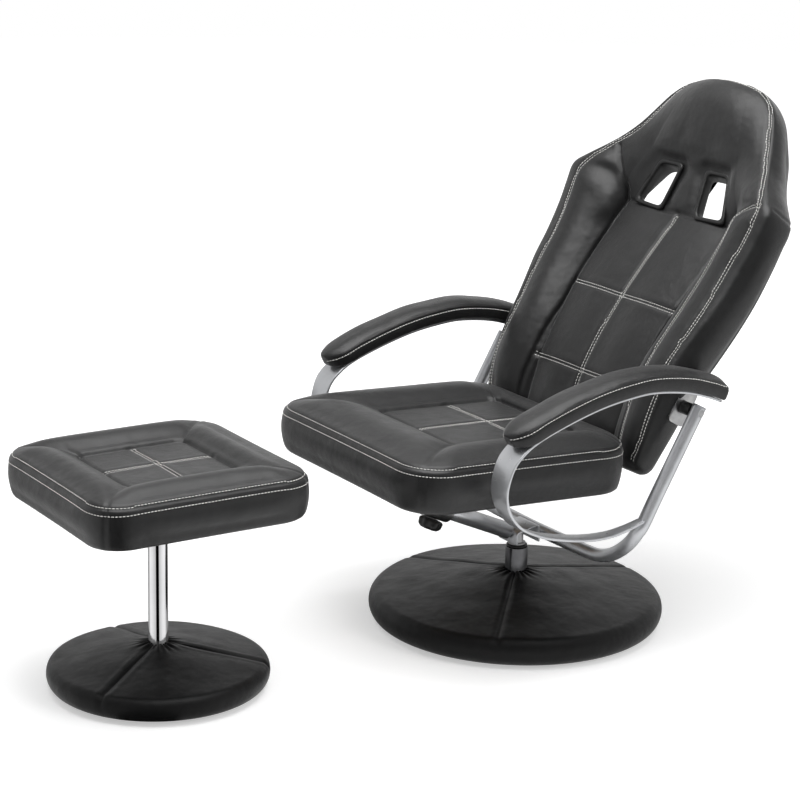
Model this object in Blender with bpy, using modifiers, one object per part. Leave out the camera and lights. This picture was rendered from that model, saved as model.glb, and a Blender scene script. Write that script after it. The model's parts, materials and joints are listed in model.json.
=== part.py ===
"""Swivel recliner with a racing-style back, and its matching footstool.

Metres, +Z up, the floor at zero. The chair's swivel axis is the Z axis, the chair faces -Y, and
left is the sitter's left, at +X. The footstool stands in front of the chair. The chair is drawn
in the reclined position of its rest pose.
"""
import math

import bmesh
import bpy
import numpy as np
from mathutils import Matrix, Vector

# Clearances
FIT_GAP = 0.0003
RUN_GAP = 0.0006
OVERRUN = 0.040
MERGE = 0.00002

# Chair base
BASE_RADIUS = 0.280
BASE_RIM_RADIUS = 0.031
BASE_CONE_TOP_Z = 0.101
BASE_BOARD_THICKNESS = 0.012
COVER_WALL = 0.006
GLIDE_HEIGHT = 0.006
GLIDE_RADIUS = 0.013
GLIDE_INSET = 0.030
BASE_GLIDE_COUNT = 5
BASE_GLIDE_TURN = math.radians(9)
COLUMN_RADIUS = 0.0215
COLUMN_WALL = 0.0045
COLUMN_TOP_Z = 0.146
COLUMN_FOOT_RADIUS = 0.070
COLUMN_FOOT_THICKNESS = 0.006
COLUMN_BOLT_COUNT = 4
COLUMN_BOLT_RADIUS = 0.004
COLUMN_BOLT_HEAD_RADIUS = 0.0075
COLUMN_BOLT_HEAD_HEIGHT = 0.005
BUSH_WALL = 0.0045
BUSH_FLANGE_HEIGHT = 0.004
BUSH_DEPTH = 0.060
SPINDLE_COLLAR_HEIGHT = 0.004
SPINDLE_TAIL = 0.012

# Swivelling bracket
BRACKET_FRONT_TOP_Z = 0.184
BRACKET_REAR_TOP_Z = 0.192
BRACKET_BOTTOM_Z = 0.1575
BRACKET_FRONT_Y = -0.022
BRACKET_REAR_Y = 0.032
BRACKET_HALF_LENGTH = 0.030
BRACKET_SHEET = 0.004
BRACKET_BEND_RADIUS = 0.008

# Side frames
SEAT_HALF_WIDTH = 0.262
ARM_OUT_FROM_SEAT = 0.046
ARM_X = SEAT_HALF_WIDTH + ARM_OUT_FROM_SEAT
TUBE_RADIUS = 0.0127
TUBE_SIDES = 12
BAND_WIDTH = 0.057
BAND_RUN_WIDTH = 0.037
BAND_WELD_WIDTH = 0.018
BAND_THICKNESS = 0.005
ARM_FORWARD_LENGTH = 0.260
ARM_TOP_Z = 0.5215
PAD_WIDTH = 0.075
PAD_SIDE_HEIGHT = 0.023
PAD_CROWN = 0.014
PAD_NOSE_LENGTH = 0.045
PAD_NOSE_TIP = 0.003
PAD_TAIL_LENGTH = 0.022

# Seat rail
RAIL_RADIUS = 0.0155
RAIL_SLOPE = math.radians(24)
RAIL_START_Z = 0.1794
RAIL_LENGTH = 0.255
RAIL_CAP_LENGTH = 0.006
CLAMP_Y = -0.185
CLAMP_HALF_LENGTH = 0.028
CLAMP_WALL = 0.007
CLAMP_NECK_HALF_WIDTH = 0.016
KNOB_RADIUS = 0.0235
KNOB_HEIGHT = 0.0205
KNOB_LOBES = 6
KNOB_LOBE_DEPTH = 0.003
KNOB_NECK_RADIUS = 0.013
KNOB_NECK_HEIGHT = 0.003
STUD_RADIUS = 0.004

# Seat
SEAT_TILT = math.radians(2.5)
SEAT_BOTTOM_Z = 0.314
SEAT_FRONT_Y = -0.398
SEAT_REAR_Y = 0.074
SEAT_CORNER_RADIUS = 0.075
SEAT_HEIGHT = 0.099
SEAT_PANEL_HALF_WIDTH = 0.130
SEAT_PANEL_FRONT_Y = -0.238
SEAT_PANEL_REAR_Y = 0.030
SEAT_PANEL_RADIUS = 0.020
SEAT_BOARD_THICKNESS = 0.012
SEAT_BOARD_INSET = 0.028
LINK_SHEET = 0.004
LINK_X = 0.110
LINK_RADIUS = 0.163
LINK_EYE_RADIUS = 0.014
LINK_REACH_FORWARD = 0.120
LINK_SLOT_TRAVEL = 0.007
PIN_RADIUS = 0.004

# Back
PIVOT_Y = 0.168
PIVOT_Z = 0.463
RECLINE = math.radians(30)
BACK_HEIGHT = 0.760
BACK_BELOW_PIVOT = 0.1436
SHOULDER_OUT_FROM_SEAT = 0.006
SHOULDER_HALF_WIDTH = SEAT_HALF_WIDTH + SHOULDER_OUT_FROM_SEAT
BACK_DEPTH = 0.120
BACK_SEAM_X = 0.157
BACK_SIDE_BULGE = 0.033
BACK_SEAM_ROLL = 0.005
BACK_BOARD_THICKNESS = 0.012
BACK_BOARD_INSET = 0.040
BACK_BOARD_TOP_SHARE = 0.93
BACK_BOARD_STATIONS = 14
BOSS_RADIUS = 0.013
PIVOT_PLATE_SHEET = 0.004
PIVOT_PLATE_HALF_DEPTH = 0.020
PIVOT_PLATE_HALF_HEIGHT = 0.034
SPACER_RADIUS = 0.012
PIVOT_BOLT_RADIUS = 0.004
PIVOT_HEAD_RADIUS = 0.0065
PIVOT_HEAD_HEIGHT = 0.005
COUNTERBORE_DEPTH = 0.007

# Harness holes of the back
RING_BAND = 0.012
RING_FLANGE = 0.005
RING_STEP = 0.005
RING_CHAMFER = 0.002
RING_CORNER_RADIUS = 0.018
RING_WIDTH = 0.091
RING_HEIGHT = 0.100
RING_INNER_X = 0.047
RING_BOTTOM_SHARE = 0.6368
RING_FRONT_DEPTH = 0.0145
RING_REAR_DEPTH = 0.0715
RING_FRONT_SLOPE = 0.09
RING_REAR_SLOPE = 0.075
RING_TRIM_THICKNESS = 0.004

# Footstool
STOOL_X = -0.034
STOOL_Y = -0.742
STOOL_RADIUS = 0.197
STOOL_RIM_RADIUS = 0.0255
STOOL_CONE_TOP_Z = 0.082
STOOL_GLIDE_COUNT = 4
STOOL_GLIDE_TURN = math.radians(15)
POLE_RADIUS = 0.0175
POLE_WALL = 0.003
POLE_FOOT_RADIUS = 0.055
STOOL_BOTTOM_Z = 0.332
STOOL_HALF_WIDTH = 0.207
STOOL_CORNER_RADIUS = 0.062
STOOL_HEIGHT = 0.088
STOOL_PANEL_HALF_WIDTH = 0.105
STOOL_PANEL_RADIUS = 0.020
STOOL_BOARD_THICKNESS = 0.012
STOOL_BOARD_INSET = 0.025
STOOL_PLATE_HALF_WIDTH = 0.075
STOOL_PLATE_THICKNESS = 0.004

# Shares of the side frame: across of the arm's x, rearward of the pivot's y or forward of the
# arm's length, up of the arm's top.
TUBE_ROUTE_SHARES = (
    (0.000, 0.2677, 0.331), (0.260, 0.2677, 0.333), (0.487, 0.2677, 0.336), (0.633, 0.2708, 0.342),
    (0.747, 0.2739, 0.364), (0.851, 0.2739, 0.402), (0.935, 0.2770, 0.447), (0.984, 0.2910, 0.487),
    (1.000, 0.3374, 0.5185), (1.000, 0.4875, 0.606), (1.000, 0.6701, 0.709), (1.000, 1.0679, 0.933),
)
BAND_ROUTE_SHARES = (
    (1.1839, 0.933), (0.9827, 0.958), (0.6779, 0.985), (0.2615, 1.000), (-0.058, 0.992),
    (-0.262, 0.975), (-0.465, 0.948), (-0.669, 0.914), (-0.796, 0.887), (-0.885, 0.857),
    (-0.950, 0.821), (-0.988, 0.771), (-1.000, 0.725), (-0.981, 0.677), (-0.935, 0.635),
    (-0.865, 0.598), (-0.769, 0.570), (-0.646, 0.545), (-0.500, 0.526), (-0.354, 0.512),
    (-0.212, 0.504), (-0.069, 0.504), (0.0480, 0.511), (0.1671, 0.519), (0.2708, 0.528),
    (0.3513, 0.534),
)
# Where along the band it is full, then as narrow as its lower run, and at last at its weld.
BAND_WIDTH_PLACES_SHARES = (0.50, 0.70, 0.84, 1.00)
PAD_SPAN = 8
PAD_NOSE_SHARES = ((-0.769, 0.893), (-0.827, 0.879), (-0.873, 0.868), (-0.904, 0.860))

# The knob's profile: down of its height, out of its radius.
KNOB_SECTION_SHARES = ((0.0, 0.72), (0.14, 1.0), (0.72, 0.94), (1.0, 0.66))

# Half of the pad's section: across of its half width, up of its side height, then its crown.
PAD_SECTION_SHARES = (
    (0.00, 0.00, 0.00), (0.90, 0.00, 0.00), (0.98, 0.06, 0.00), (1.00, 0.50, 0.00),
    (0.98, 1.00, 0.00), (0.84, 1.00, 0.50), (0.50, 1.00, 0.90), (0.00, 1.00, 1.00),
)

# Levels of a seat cushion: inward of the border's width, up of the cushion's height.
CUSHION_LEVEL_SHARES = (
    (0.160, 0.000), (0.055, 0.040), (0.010, 0.170), (-0.020, 0.450), (-0.010, 0.700),
    (0.012, 0.840), (0.080, 0.910), (0.240, 0.980), (0.470, 1.000), (0.720, 0.965),
    (0.920, 0.900), (1.000, 0.835),
)
# Levels inside the panel: size of the panel's, up of the cushion's height.
PANEL_LEVEL_SHARES = ((0.960, 0.850), (0.780, 0.865), (0.450, 0.870))
SIDE_DRAW_SHARE = 0.012

# Stations of the back, from its lower end up: height of the back's height, half width of the
# shoulder's, depths of the front edge, the recess and the rear, of the back's depth, and how much
# of the full bulge the side panel has.
BACK_STATION_SHARES = (
    (0.000, 0.765, 0.040, 0.060, 0.240, 0.20), (0.008, 0.813, -0.040, -0.010, 0.310, 0.40),
    (0.026, 0.840, -0.160, -0.075, 0.375, 0.60), (0.066, 0.851, -0.275, -0.140, 0.415, 0.80),
    (0.118, 0.862, -0.375, -0.210, 0.440, 0.85), (0.184, 0.869, -0.440, -0.275, 0.465, 0.85),
    (0.263, 0.888, -0.465, -0.285, 0.500, 0.80), (0.342, 0.918, -0.425, -0.250, 0.550, 0.80),
    (0.421, 0.940, -0.375, -0.180, 0.610, 0.95), (0.500, 0.955, -0.335, -0.090, 0.640, 1.00),
    (0.579, 0.974, -0.335, 0.015, 0.620, 1.00), (0.638, 0.993, -0.360, 0.110, 0.565, 1.00),
    (0.684, 1.000, -0.385, 0.110, 0.535, 0.95), (0.717, 0.925, -0.340, 0.085, 0.515, 0.90),
    (0.757, 0.828, -0.260, 0.050, 0.510, 0.70), (0.796, 0.754, -0.175, -0.040, 0.500, 0.50),
    (0.842, 0.675, -0.115, -0.190, 0.505, 0.40), (0.888, 0.604, -0.090, -0.290, 0.445, 0.35),
    (0.934, 0.526, -0.085, -0.325, 0.355, 0.30), (0.967, 0.429, -0.085, -0.300, 0.260, 0.25),
    (0.989, 0.298, -0.075, -0.225, 0.150, 0.20), (1.000, 0.149, -0.060, -0.125, 0.075, 0.20),
)
# The board inside the back: height of the back's height, depth of the back's depth.
BACK_BOARD_SHARES = (
    (0.000, 0.145), (0.066, 0.080), (0.184, 0.000), (0.300, 0.065), (0.420, 0.180),
    (0.550, 0.280), (0.684, 0.315), (0.800, 0.280), (0.900, 0.180), (1.000, 0.080),
)
# Corners of a harness ring: across of its width, up of its height.
RING_CORNER_SHARES = ((0.000, 0.000), (1.000, 0.040), (0.630, 1.000), (-0.165, 1.000))


PARTS = None
CUTTERS = None


def start_collections():
    """Clear the scene and make one collection for the parts and one for the cutters."""
    global PARTS, CUTTERS
    for old in list(bpy.data.objects):
        bpy.data.objects.remove(old, do_unlink=True)
    PARTS = bpy.data.collections.new("gaming_recliner")
    CUTTERS = bpy.data.collections.new("cutters")
    bpy.context.scene.collection.children.link(PARTS)
    bpy.context.scene.collection.children.link(CUTTERS)


def finish(name, colour, roughness, metallic):
    """A Principled material of one colour."""
    material = bpy.data.materials.new(name)
    material.use_nodes = True
    shader = material.node_tree.nodes["Principled BSDF"]
    shader.inputs["Base Color"].default_value = (*colour, 1.0)
    shader.inputs["Roughness"].default_value = roughness
    shader.inputs["Metallic"].default_value = metallic
    return material


class Frame:
    """An empty on a joint's axis, and the matrix that places it."""

    def __init__(self, name, matrix):
        self.matrix = matrix
        self.empty = bpy.data.objects.new(name, None)
        self.empty.matrix_world = matrix
        PARTS.objects.link(self.empty)


def put(name, mesh, material, frame, in_world=False, smooth=True):
    """Make the object of a mesh, as a child of its frame's empty."""
    if in_world:
        mesh.transform(frame.matrix.inverted())
    mesh.name = name
    mesh.materials.clear()
    mesh.materials.append(material)
    if smooth:
        mesh.shade_smooth()
        mesh.set_sharp_from_angle(angle=math.radians(35))
    piece = bpy.data.objects.new(name, mesh)
    piece.parent = frame.empty
    PARTS.objects.link(piece)
    return piece


def put_cutter(name, mesh, frame, in_world=False):
    """Make a cutter, which shows as a wire and is left out of the model."""
    if in_world:
        mesh.transform(frame.matrix.inverted())
    cutter = bpy.data.objects.new(name, mesh)
    cutter.parent = frame.empty
    cutter.hide_render = True
    cutter.display_type = "WIRE"
    CUTTERS.objects.link(cutter)
    return cutter


def combine(piece, other, operation="DIFFERENCE"):
    """Cut a piece with a cutter, or join a cutter's shape to it."""
    modifier = piece.modifiers.new(other.name, "BOOLEAN")
    modifier.object = other
    modifier.operation = operation
    modifier.solver = "EXACT"


def mesh_of(vertices, faces):
    """A closed mesh from its points and faces, with the faces turned outwards."""
    mesh = bpy.data.meshes.new("shape")
    mesh.from_pydata([tuple(map(float, point)) for point in vertices], [], faces)
    shape = bmesh.new()
    shape.from_mesh(mesh)
    bmesh.ops.recalc_face_normals(shape, faces=shape.faces)
    shape.to_mesh(mesh)
    shape.free()
    return mesh


def loft(rings, round_and_round=False):
    """A body through closed rings of equal count, capped at its ends or closed on itself."""
    count = len(rings[0])
    vertices = [point for ring in rings for point in ring]
    faces = []
    spans = len(rings) if round_and_round else len(rings) - 1
    for i in range(spans):
        low, high = i * count, (i + 1) % len(rings) * count
        for j in range(count):
            k = (j + 1) % count
            faces.append((low + j, low + k, high + k, high + j))
    if not round_and_round:
        faces.append(tuple(range(count)))
        faces.append(tuple(len(vertices) - 1 - i for i in range(count)))
    return mesh_of(vertices, faces)


def trim(mesh, point, normal):
    """Cut a mesh with a plane, drop the side that the normal points to, and close the cut."""
    shape = bmesh.new()
    shape.from_mesh(mesh)
    geometry = shape.verts[:] + shape.edges[:] + shape.faces[:]
    result = bmesh.ops.bisect_plane(shape, geom=geometry, dist=MERGE, plane_co=point,
                                    plane_no=normal, clear_outer=True)
    rim = [item for item in result["geom_cut"] if isinstance(item, bmesh.types.BMEdge)]
    bmesh.ops.holes_fill(shape, edges=rim, sides=0)
    bmesh.ops.recalc_face_normals(shape, faces=shape.faces)
    shape.to_mesh(mesh)
    shape.free()
    return mesh


def rod(start, end, radius, sides=16, end_radius=None):
    """A cylinder, or a cone, between two points."""
    start, end = Vector(start), Vector(end)
    along = end - start
    turn = along.to_track_quat("Z", "Y").to_matrix().to_4x4()
    matrix = Matrix.Translation((start + end) / 2) @ turn
    shape = bmesh.new()
    bmesh.ops.create_cone(shape, cap_ends=True, segments=sides, radius1=radius,
                          radius2=radius if end_radius is None else end_radius,
                          depth=along.length, matrix=matrix)
    mesh = bpy.data.meshes.new("rod")
    shape.to_mesh(mesh)
    shape.free()
    return mesh


def curve_mesh(curve):
    """The mesh of a curve, with its loose caps welded on."""
    holder = bpy.data.objects.new("curve", curve)
    bpy.context.scene.collection.objects.link(holder)
    graph = bpy.context.evaluated_depsgraph_get()
    mesh = bpy.data.meshes.new_from_object(holder.evaluated_get(graph))
    bpy.data.objects.remove(holder, do_unlink=True)
    shape = bmesh.new()
    shape.from_mesh(mesh)
    bmesh.ops.remove_doubles(shape, verts=shape.verts, dist=MERGE)
    bmesh.ops.recalc_face_normals(shape, faces=shape.faces)
    shape.to_mesh(mesh)
    shape.free()
    return mesh


def tube(points, radius, sides=TUBE_SIDES):
    """A round tube along points, as a curve with a bevel depth and filled caps."""
    curve = bpy.data.curves.new("tube", "CURVE")
    curve.dimensions = "3D"
    curve.bevel_depth = radius
    curve.bevel_resolution = sides // 2 - 2
    curve.use_fill_caps = True
    spline = curve.splines.new("POLY")
    spline.points.add(len(points) - 1)
    for place, point in zip(spline.points, points):
        place.co = (*point, 1.0)
    return curve_mesh(curve)


def slab(outlines, half_thickness, matrix):
    """A flat piece: outlines in its own XY plane, the first outside and the rest its holes."""
    curve = bpy.data.curves.new("slab", "CURVE")
    curve.dimensions = "2D"
    curve.fill_mode = "BOTH"
    curve.extrude = half_thickness
    for outline in outlines:
        spline = curve.splines.new("POLY")
        spline.points.add(len(outline) - 1)
        for place, (across, up) in zip(spline.points, outline):
            place.co = (across, up, 0.0, 1.0)
        spline.use_cyclic_u = True
    mesh = curve_mesh(curve)
    mesh.transform(matrix)
    return mesh


def turned(name, profile, material, frame, steps=32):
    """A turned piece: a closed profile of radius and height, carried round by a Screw."""
    mesh = bpy.data.meshes.new(name)
    points = [(radius, 0.0, height) for radius, height in profile]
    edges = [(i, (i + 1) % len(points)) for i in range(len(points))]
    if profile[0][0] == 0.0 and profile[-1][0] == 0.0:
        edges.pop()
    mesh.from_pydata(points, edges, [])
    mesh.materials.append(material)
    piece = bpy.data.objects.new(name, mesh)
    piece.parent = frame.empty
    PARTS.objects.link(piece)
    screw = piece.modifiers.new("turn", "SCREW")
    screw.steps = steps
    screw.render_steps = steps
    screw.use_merge_vertices = True
    screw.merge_threshold = MERGE
    screw.use_smooth_shade = True
    return piece


def arc(centre, radius, start, end, steps):
    """Points of an arc, the angles in degrees from the first axis towards the second."""
    angles = np.radians(np.linspace(start, end, steps + 1))
    return [(centre[0] + radius * math.cos(a), centre[1] + radius * math.sin(a)) for a in angles]


def smooth_route(points, steps):
    """A smooth curve through the points, with the same number of steps in each span."""
    points = [Vector(point) for point in points]
    ends = [points[0] * 2 - points[1]] + points + [points[-1] * 2 - points[-2]]
    route = []
    for a, b, c, d in zip(ends, ends[1:], ends[2:], ends[3:]):
        for i in range(steps):
            t = i / steps
            route.append(0.5 * (2 * b + (c - a) * t + (2 * a - 5 * b + 4 * c - d) * t * t
                                + (3 * b - a - 3 * c + d) * t * t * t))
    return route + [points[-1]]


def rounded_outline(corners, radius, steps):
    """The outline round a convex set of corners, at a radius from them."""
    outline = []
    count = len(corners)
    for i, corner in enumerate(corners):
        before, after = corners[i - 1], corners[(i + 1) % count]
        first = math.atan2(-(corner[0] - before[0]), corner[1] - before[1])
        last = math.atan2(-(after[0] - corner[0]), after[1] - corner[1])
        while last < first:
            last += 2 * math.pi
        outline += arc(corner, radius, math.degrees(first), math.degrees(last), steps)
    return outline


def mirror_x(points, side):
    """Points on the chair's left for side 1, or the same points on its right for side -1."""
    return [(side * point[0], *point[1:]) for point in points]


def base_cover_profile(radius, rim_radius, cone_top_z, hole_radius, board_radius):
    """The closed profile of a base's cover: the cone, its rolled rim and the inner wall."""
    rim_z = GLIDE_HEIGHT + FIT_GAP + rim_radius
    rim_r = radius - rim_radius
    rise = math.degrees(math.atan2(cone_top_z - rim_z - rim_radius, rim_r - hole_radius))
    outer = [(hole_radius, cone_top_z)]
    outer += arc((rim_r, rim_z), rim_radius, 90 - rise, -90, 9)
    inner_radius = rim_radius - COVER_WALL
    inner = arc((rim_r, rim_z), inner_radius, -60, 90 - rise, 5)
    lip = [(board_radius, rim_z - rim_radius),
           (board_radius, rim_z - rim_radius + COVER_WALL)]
    return outer + lip + inner + [(hole_radius, cone_top_z - COVER_WALL)]


def ring_places(count, radius, turn):
    """Places round a circle about the frame's axis."""
    angles = [turn + 2 * math.pi * i / count for i in range(count)]
    return [(radius * math.cos(a), radius * math.sin(a)) for a in angles]


def make_glides(name, count, radius, turn, material, frame):
    """The glides under a base, a ring of short cones."""
    for i, (x, y) in enumerate(ring_places(count, radius, turn)):
        mesh = rod((x, y, 0.0), (x, y, GLIDE_HEIGHT), GLIDE_RADIUS - RING_CHAMFER, 12,
                   GLIDE_RADIUS)
        put(f"{name}_{i + 1}", mesh, material, frame, smooth=False)


def make_base(frame, looks):
    """The chair's base: board, cover, glides, column, its bolts and its bush."""
    board_radius = BASE_RADIUS - BASE_RIM_RADIUS - COVER_WALL
    board_low = GLIDE_HEIGHT + FIT_GAP
    board_top = board_low + BASE_BOARD_THICKNESS
    mesh = rod((0.0, 0.0, board_low), (0.0, 0.0, board_top), board_radius, 48)
    board = put("base_board", mesh, looks["board"], frame, smooth=False)
    profile = base_cover_profile(BASE_RADIUS, BASE_RIM_RADIUS, BASE_CONE_TOP_Z,
                                 COLUMN_RADIUS + FIT_GAP, board_radius + FIT_GAP)
    turned("base_cover", profile, looks["leather"], frame, 48)
    make_glides("base_glide", BASE_GLIDE_COUNT, board_radius - GLIDE_INSET / 2,
                BASE_GLIDE_TURN, looks["plastic"], frame)
    foot_low = board_top + FIT_GAP
    foot_top = foot_low + COLUMN_FOOT_THICKNESS
    bore = COLUMN_RADIUS - COLUMN_WALL
    profile = [(bore, COLUMN_TOP_Z), (COLUMN_RADIUS, COLUMN_TOP_Z), (COLUMN_RADIUS, foot_top),
               (COLUMN_FOOT_RADIUS, foot_top), (COLUMN_FOOT_RADIUS, foot_low), (bore, foot_low)]
    column = turned("column", profile, looks["dark_chrome"], frame, 32)
    bolt_circle = (COLUMN_FOOT_RADIUS + COLUMN_RADIUS) / 2
    turn = math.pi / COLUMN_BOLT_COUNT
    for i, (x, y) in enumerate(ring_places(COLUMN_BOLT_COUNT, bolt_circle, turn)):
        hole = rod((x, y, -OVERRUN), (x, y, foot_top + OVERRUN), COLUMN_BOLT_RADIUS + FIT_GAP, 10)
        cutter = put_cutter(f"column_bolt_hole_{i + 1}", hole, frame)
        combine(board, cutter)
        combine(column, cutter)
        make_bolt(f"column_bolt_{i + 1}", (x, y), board_low, foot_top, looks["steel"], frame)
    bush_low = COLUMN_TOP_Z - BUSH_DEPTH
    bush_top = COLUMN_TOP_Z + BUSH_FLANGE_HEIGHT
    bush_bore = bore - BUSH_WALL
    flange = COLUMN_RADIUS - COLUMN_WALL / 3
    profile = [(bush_bore, bush_top), (flange, bush_top), (flange, COLUMN_TOP_Z + FIT_GAP),
               (bore - FIT_GAP, COLUMN_TOP_Z + FIT_GAP),
               (bore - FIT_GAP, bush_low), (bush_bore, bush_low)]
    turned("column_bush", profile, looks["plastic"], frame, 24)


def make_bolt(name, place, shank_low, seat_z, material, frame):
    """A hexagon bolt that stands in its hole, with its head on the foot."""
    x, y = place
    head_low = seat_z + FIT_GAP
    head = rod((x, y, head_low), (x, y, head_low + COLUMN_BOLT_HEAD_HEIGHT),
               COLUMN_BOLT_HEAD_RADIUS, 6)
    bolt = put(name, head, material, frame, smooth=False)
    middle = head_low + COLUMN_BOLT_HEAD_HEIGHT / 2
    shank = rod((x, y, shank_low), (x, y, middle), COLUMN_BOLT_RADIUS, 10)
    combine(bolt, put_cutter(name + "_shank", shank, frame), "UNION")


def make_bracket(frame, looks):
    """The spindle and the folded channel that it carries."""
    bush_bore = COLUMN_RADIUS - COLUMN_WALL - BUSH_WALL
    pin = bush_bore - RUN_GAP
    collar_low = COLUMN_TOP_Z + BUSH_FLANGE_HEIGHT + FIT_GAP
    collar_top = collar_low + SPINDLE_COLLAR_HEIGHT
    slope = bracket_slope()
    bend_y = BRACKET_FRONT_Y + BRACKET_BEND_RADIUS
    bend_z = BRACKET_FRONT_TOP_Z - BRACKET_BEND_RADIUS
    rise = (BRACKET_BEND_RADIUS - BRACKET_SHEET) / math.cos(slope)
    under_plate = bend_z + rise + (-pin - bend_y) * math.tan(slope) - FIT_GAP
    tail_z = COLUMN_TOP_Z - BUSH_DEPTH - SPINDLE_TAIL
    collar = (pin + COLUMN_RADIUS) / 2
    profile = [(0.0, under_plate), (pin, under_plate), (pin, collar_top), (collar, collar_top),
               (collar, collar_low), (pin, collar_low), (pin, tail_z), (0.0, tail_z)]
    turned("spindle", profile, looks["steel"], frame, 24)
    outer, inner = BRACKET_BEND_RADIUS, BRACKET_BEND_RADIUS - BRACKET_SHEET
    front = (BRACKET_FRONT_Y + outer, BRACKET_FRONT_TOP_Z - outer)
    rear = (BRACKET_REAR_Y - outer, BRACKET_REAR_TOP_Z - outer)
    lean = 90 + math.degrees(slope)
    outline = [(BRACKET_REAR_Y, BRACKET_BOTTOM_Z)]
    outline += arc(rear, outer, 0, lean, 4)
    outline += arc(front, outer, lean, 180, 4)
    outline += [(BRACKET_FRONT_Y, BRACKET_BOTTOM_Z),
                (BRACKET_FRONT_Y + BRACKET_SHEET, BRACKET_BOTTOM_Z)]
    outline += arc(front, inner, 180, lean, 4)
    outline += arc(rear, inner, lean, 0, 4)
    outline += [(BRACKET_REAR_Y - BRACKET_SHEET, BRACKET_BOTTOM_Z)]
    mesh = slab([outline], BRACKET_HALF_LENGTH, upright(0.0))
    put("swivel_bracket", mesh, looks["silver"], frame)


def bracket_slope():
    """The slope of the bracket's top plate, which rises to the rear."""
    run = BRACKET_REAR_Y - BRACKET_FRONT_Y - 2 * BRACKET_BEND_RADIUS
    return math.atan2(BRACKET_REAR_TOP_Z - BRACKET_FRONT_TOP_Z, run)


def upright(x):
    """The matrix that stands an outline of y and z upright in the plane at x."""
    return Matrix(((0, 0, 1, x), (1, 0, 0, 0), (0, 1, 0, 0), (0, 0, 0, 1)))


def side_y(share):
    """Where a share lies: rearward in shares of the pivot's y, forward of the arm's length."""
    return share * (PIVOT_Y if share > 0 else ARM_FORWARD_LENGTH)


def band_route():
    """The middle of the arm band, as y and z, from under the pad's rear end to the weld."""
    return [(side_y(share_y), share_z * ARM_TOP_Z) for share_y, share_z in BAND_ROUTE_SHARES]


def tube_route():
    """The middle of the frame tube, from the swivel axis round and up to the left band."""
    points = [(share_x * ARM_X, side_y(share_y), share_z * ARM_TOP_Z)
              for share_x, share_y, share_z in TUBE_ROUTE_SHARES]
    return smooth_route(points, 3)


def band_underside():
    """A point on the band's underside over the tube's end, and the outward normal there."""
    route = np.array(band_route())
    under = route - route_normals(route) * BAND_THICKNESS / 2
    end_y = tube_route()[-1].y
    i = next(i for i in range(PAD_SPAN) if under[i + 1][0] < end_y)
    along = under[i + 1] - under[i]
    normal = np.array([along[1], -along[0]]) / np.linalg.norm(along)
    point = under[i] - normal * FIT_GAP
    return (0.0, *point), (0.0, *normal)


def make_frame_tube(frame, looks):
    """The bent tube that runs from one arm band down, behind the bracket and up to the other."""
    middle = tube_route()
    last = middle[-1] + (middle[-1] - middle[-2]).normalized() * OVERRUN
    left = [tuple(point) for point in middle] + [tuple(last)]
    right = mirror_x(left[:0:-1], -1)
    mesh = tube(right + left, TUBE_RADIUS)
    point, normal = band_underside()
    trim(mesh, point, normal)
    return put("frame_tube", mesh, looks["silver"], frame)


def route_normals(route):
    """Unit normals of a route in the y and z plane, on its upper or outer side."""
    points = np.array(route)
    along = np.gradient(points, axis=0)
    along /= np.linalg.norm(along, axis=1)[:, None]
    return np.stack([along[:, 1], -along[:, 0]], axis=1)


def band_mesh(side):
    """The flat band: a thin section along its route, narrower towards the weld."""
    route = band_route()
    normals = route_normals(route)
    widths = (BAND_WIDTH, BAND_RUN_WIDTH, BAND_RUN_WIDTH, BAND_WELD_WIDTH)
    halves = np.interp(np.linspace(0, 1, len(route)), BAND_WIDTH_PLACES_SHARES, widths) / 2
    lift = BAND_THICKNESS / 2
    rings = []
    for (y, z), normal, half in zip(route, normals, halves):
        rings.append([(side * ARM_X + across, y + normal[0] * up, z + normal[1] * up)
                      for across, up in ((-half, -lift), (half, -lift), (half, lift),
                                         (-half, lift))])
    return loft(rings)


def pad_mesh(side):
    """The arm pad: a crowned section along the top of the band, rounded at its nose and tail."""
    top = band_route()[:PAD_SPAN]
    nose = [(side_y(share_y), share_z * ARM_TOP_Z) for share_y, share_z in PAD_NOSE_SHARES]
    route = [tuple(point)[:2] for point in smooth_route([(*p, 0.0) for p in top + nose], 2)]
    normals = route_normals(route)
    steps = np.linalg.norm(np.diff(np.array(route), axis=0), axis=1)
    travelled = np.concatenate([[0.0], np.cumsum(steps)])
    lift = BAND_THICKNESS / 2 + FIT_GAP
    right_half = PAD_SECTION_SHARES
    section = [(across, up, crown, 1) for across, up, crown in right_half]
    section += [(across, up, crown, -1) for across, up, crown in right_half[-2:0:-1]]
    rings = []
    for (y, z), normal, distance in zip(route, normals, travelled):
        to_nose = (travelled[-1] - distance + PAD_NOSE_TIP) / PAD_NOSE_LENGTH
        round_off = math.sqrt(1 - max(0.0, 1 - to_nose) ** 2)
        tail = 1 - 0.5 * max(0.0, 1 - distance / PAD_TAIL_LENGTH) ** 2
        points = []
        for across, up, crown, hand in section:
            x = side * ARM_X + hand * across * round_off * PAD_WIDTH / 2
            height = up * PAD_SIDE_HEIGHT + crown * tail * PAD_CROWN
            height += (PAD_SIDE_HEIGHT - height) * 0.6 * (1 - round_off)
            n = lift + height
            points.append((x, y + normal[0] * n, z + normal[1] * n))
        rings.append(points)
    return loft(rings)


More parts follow.
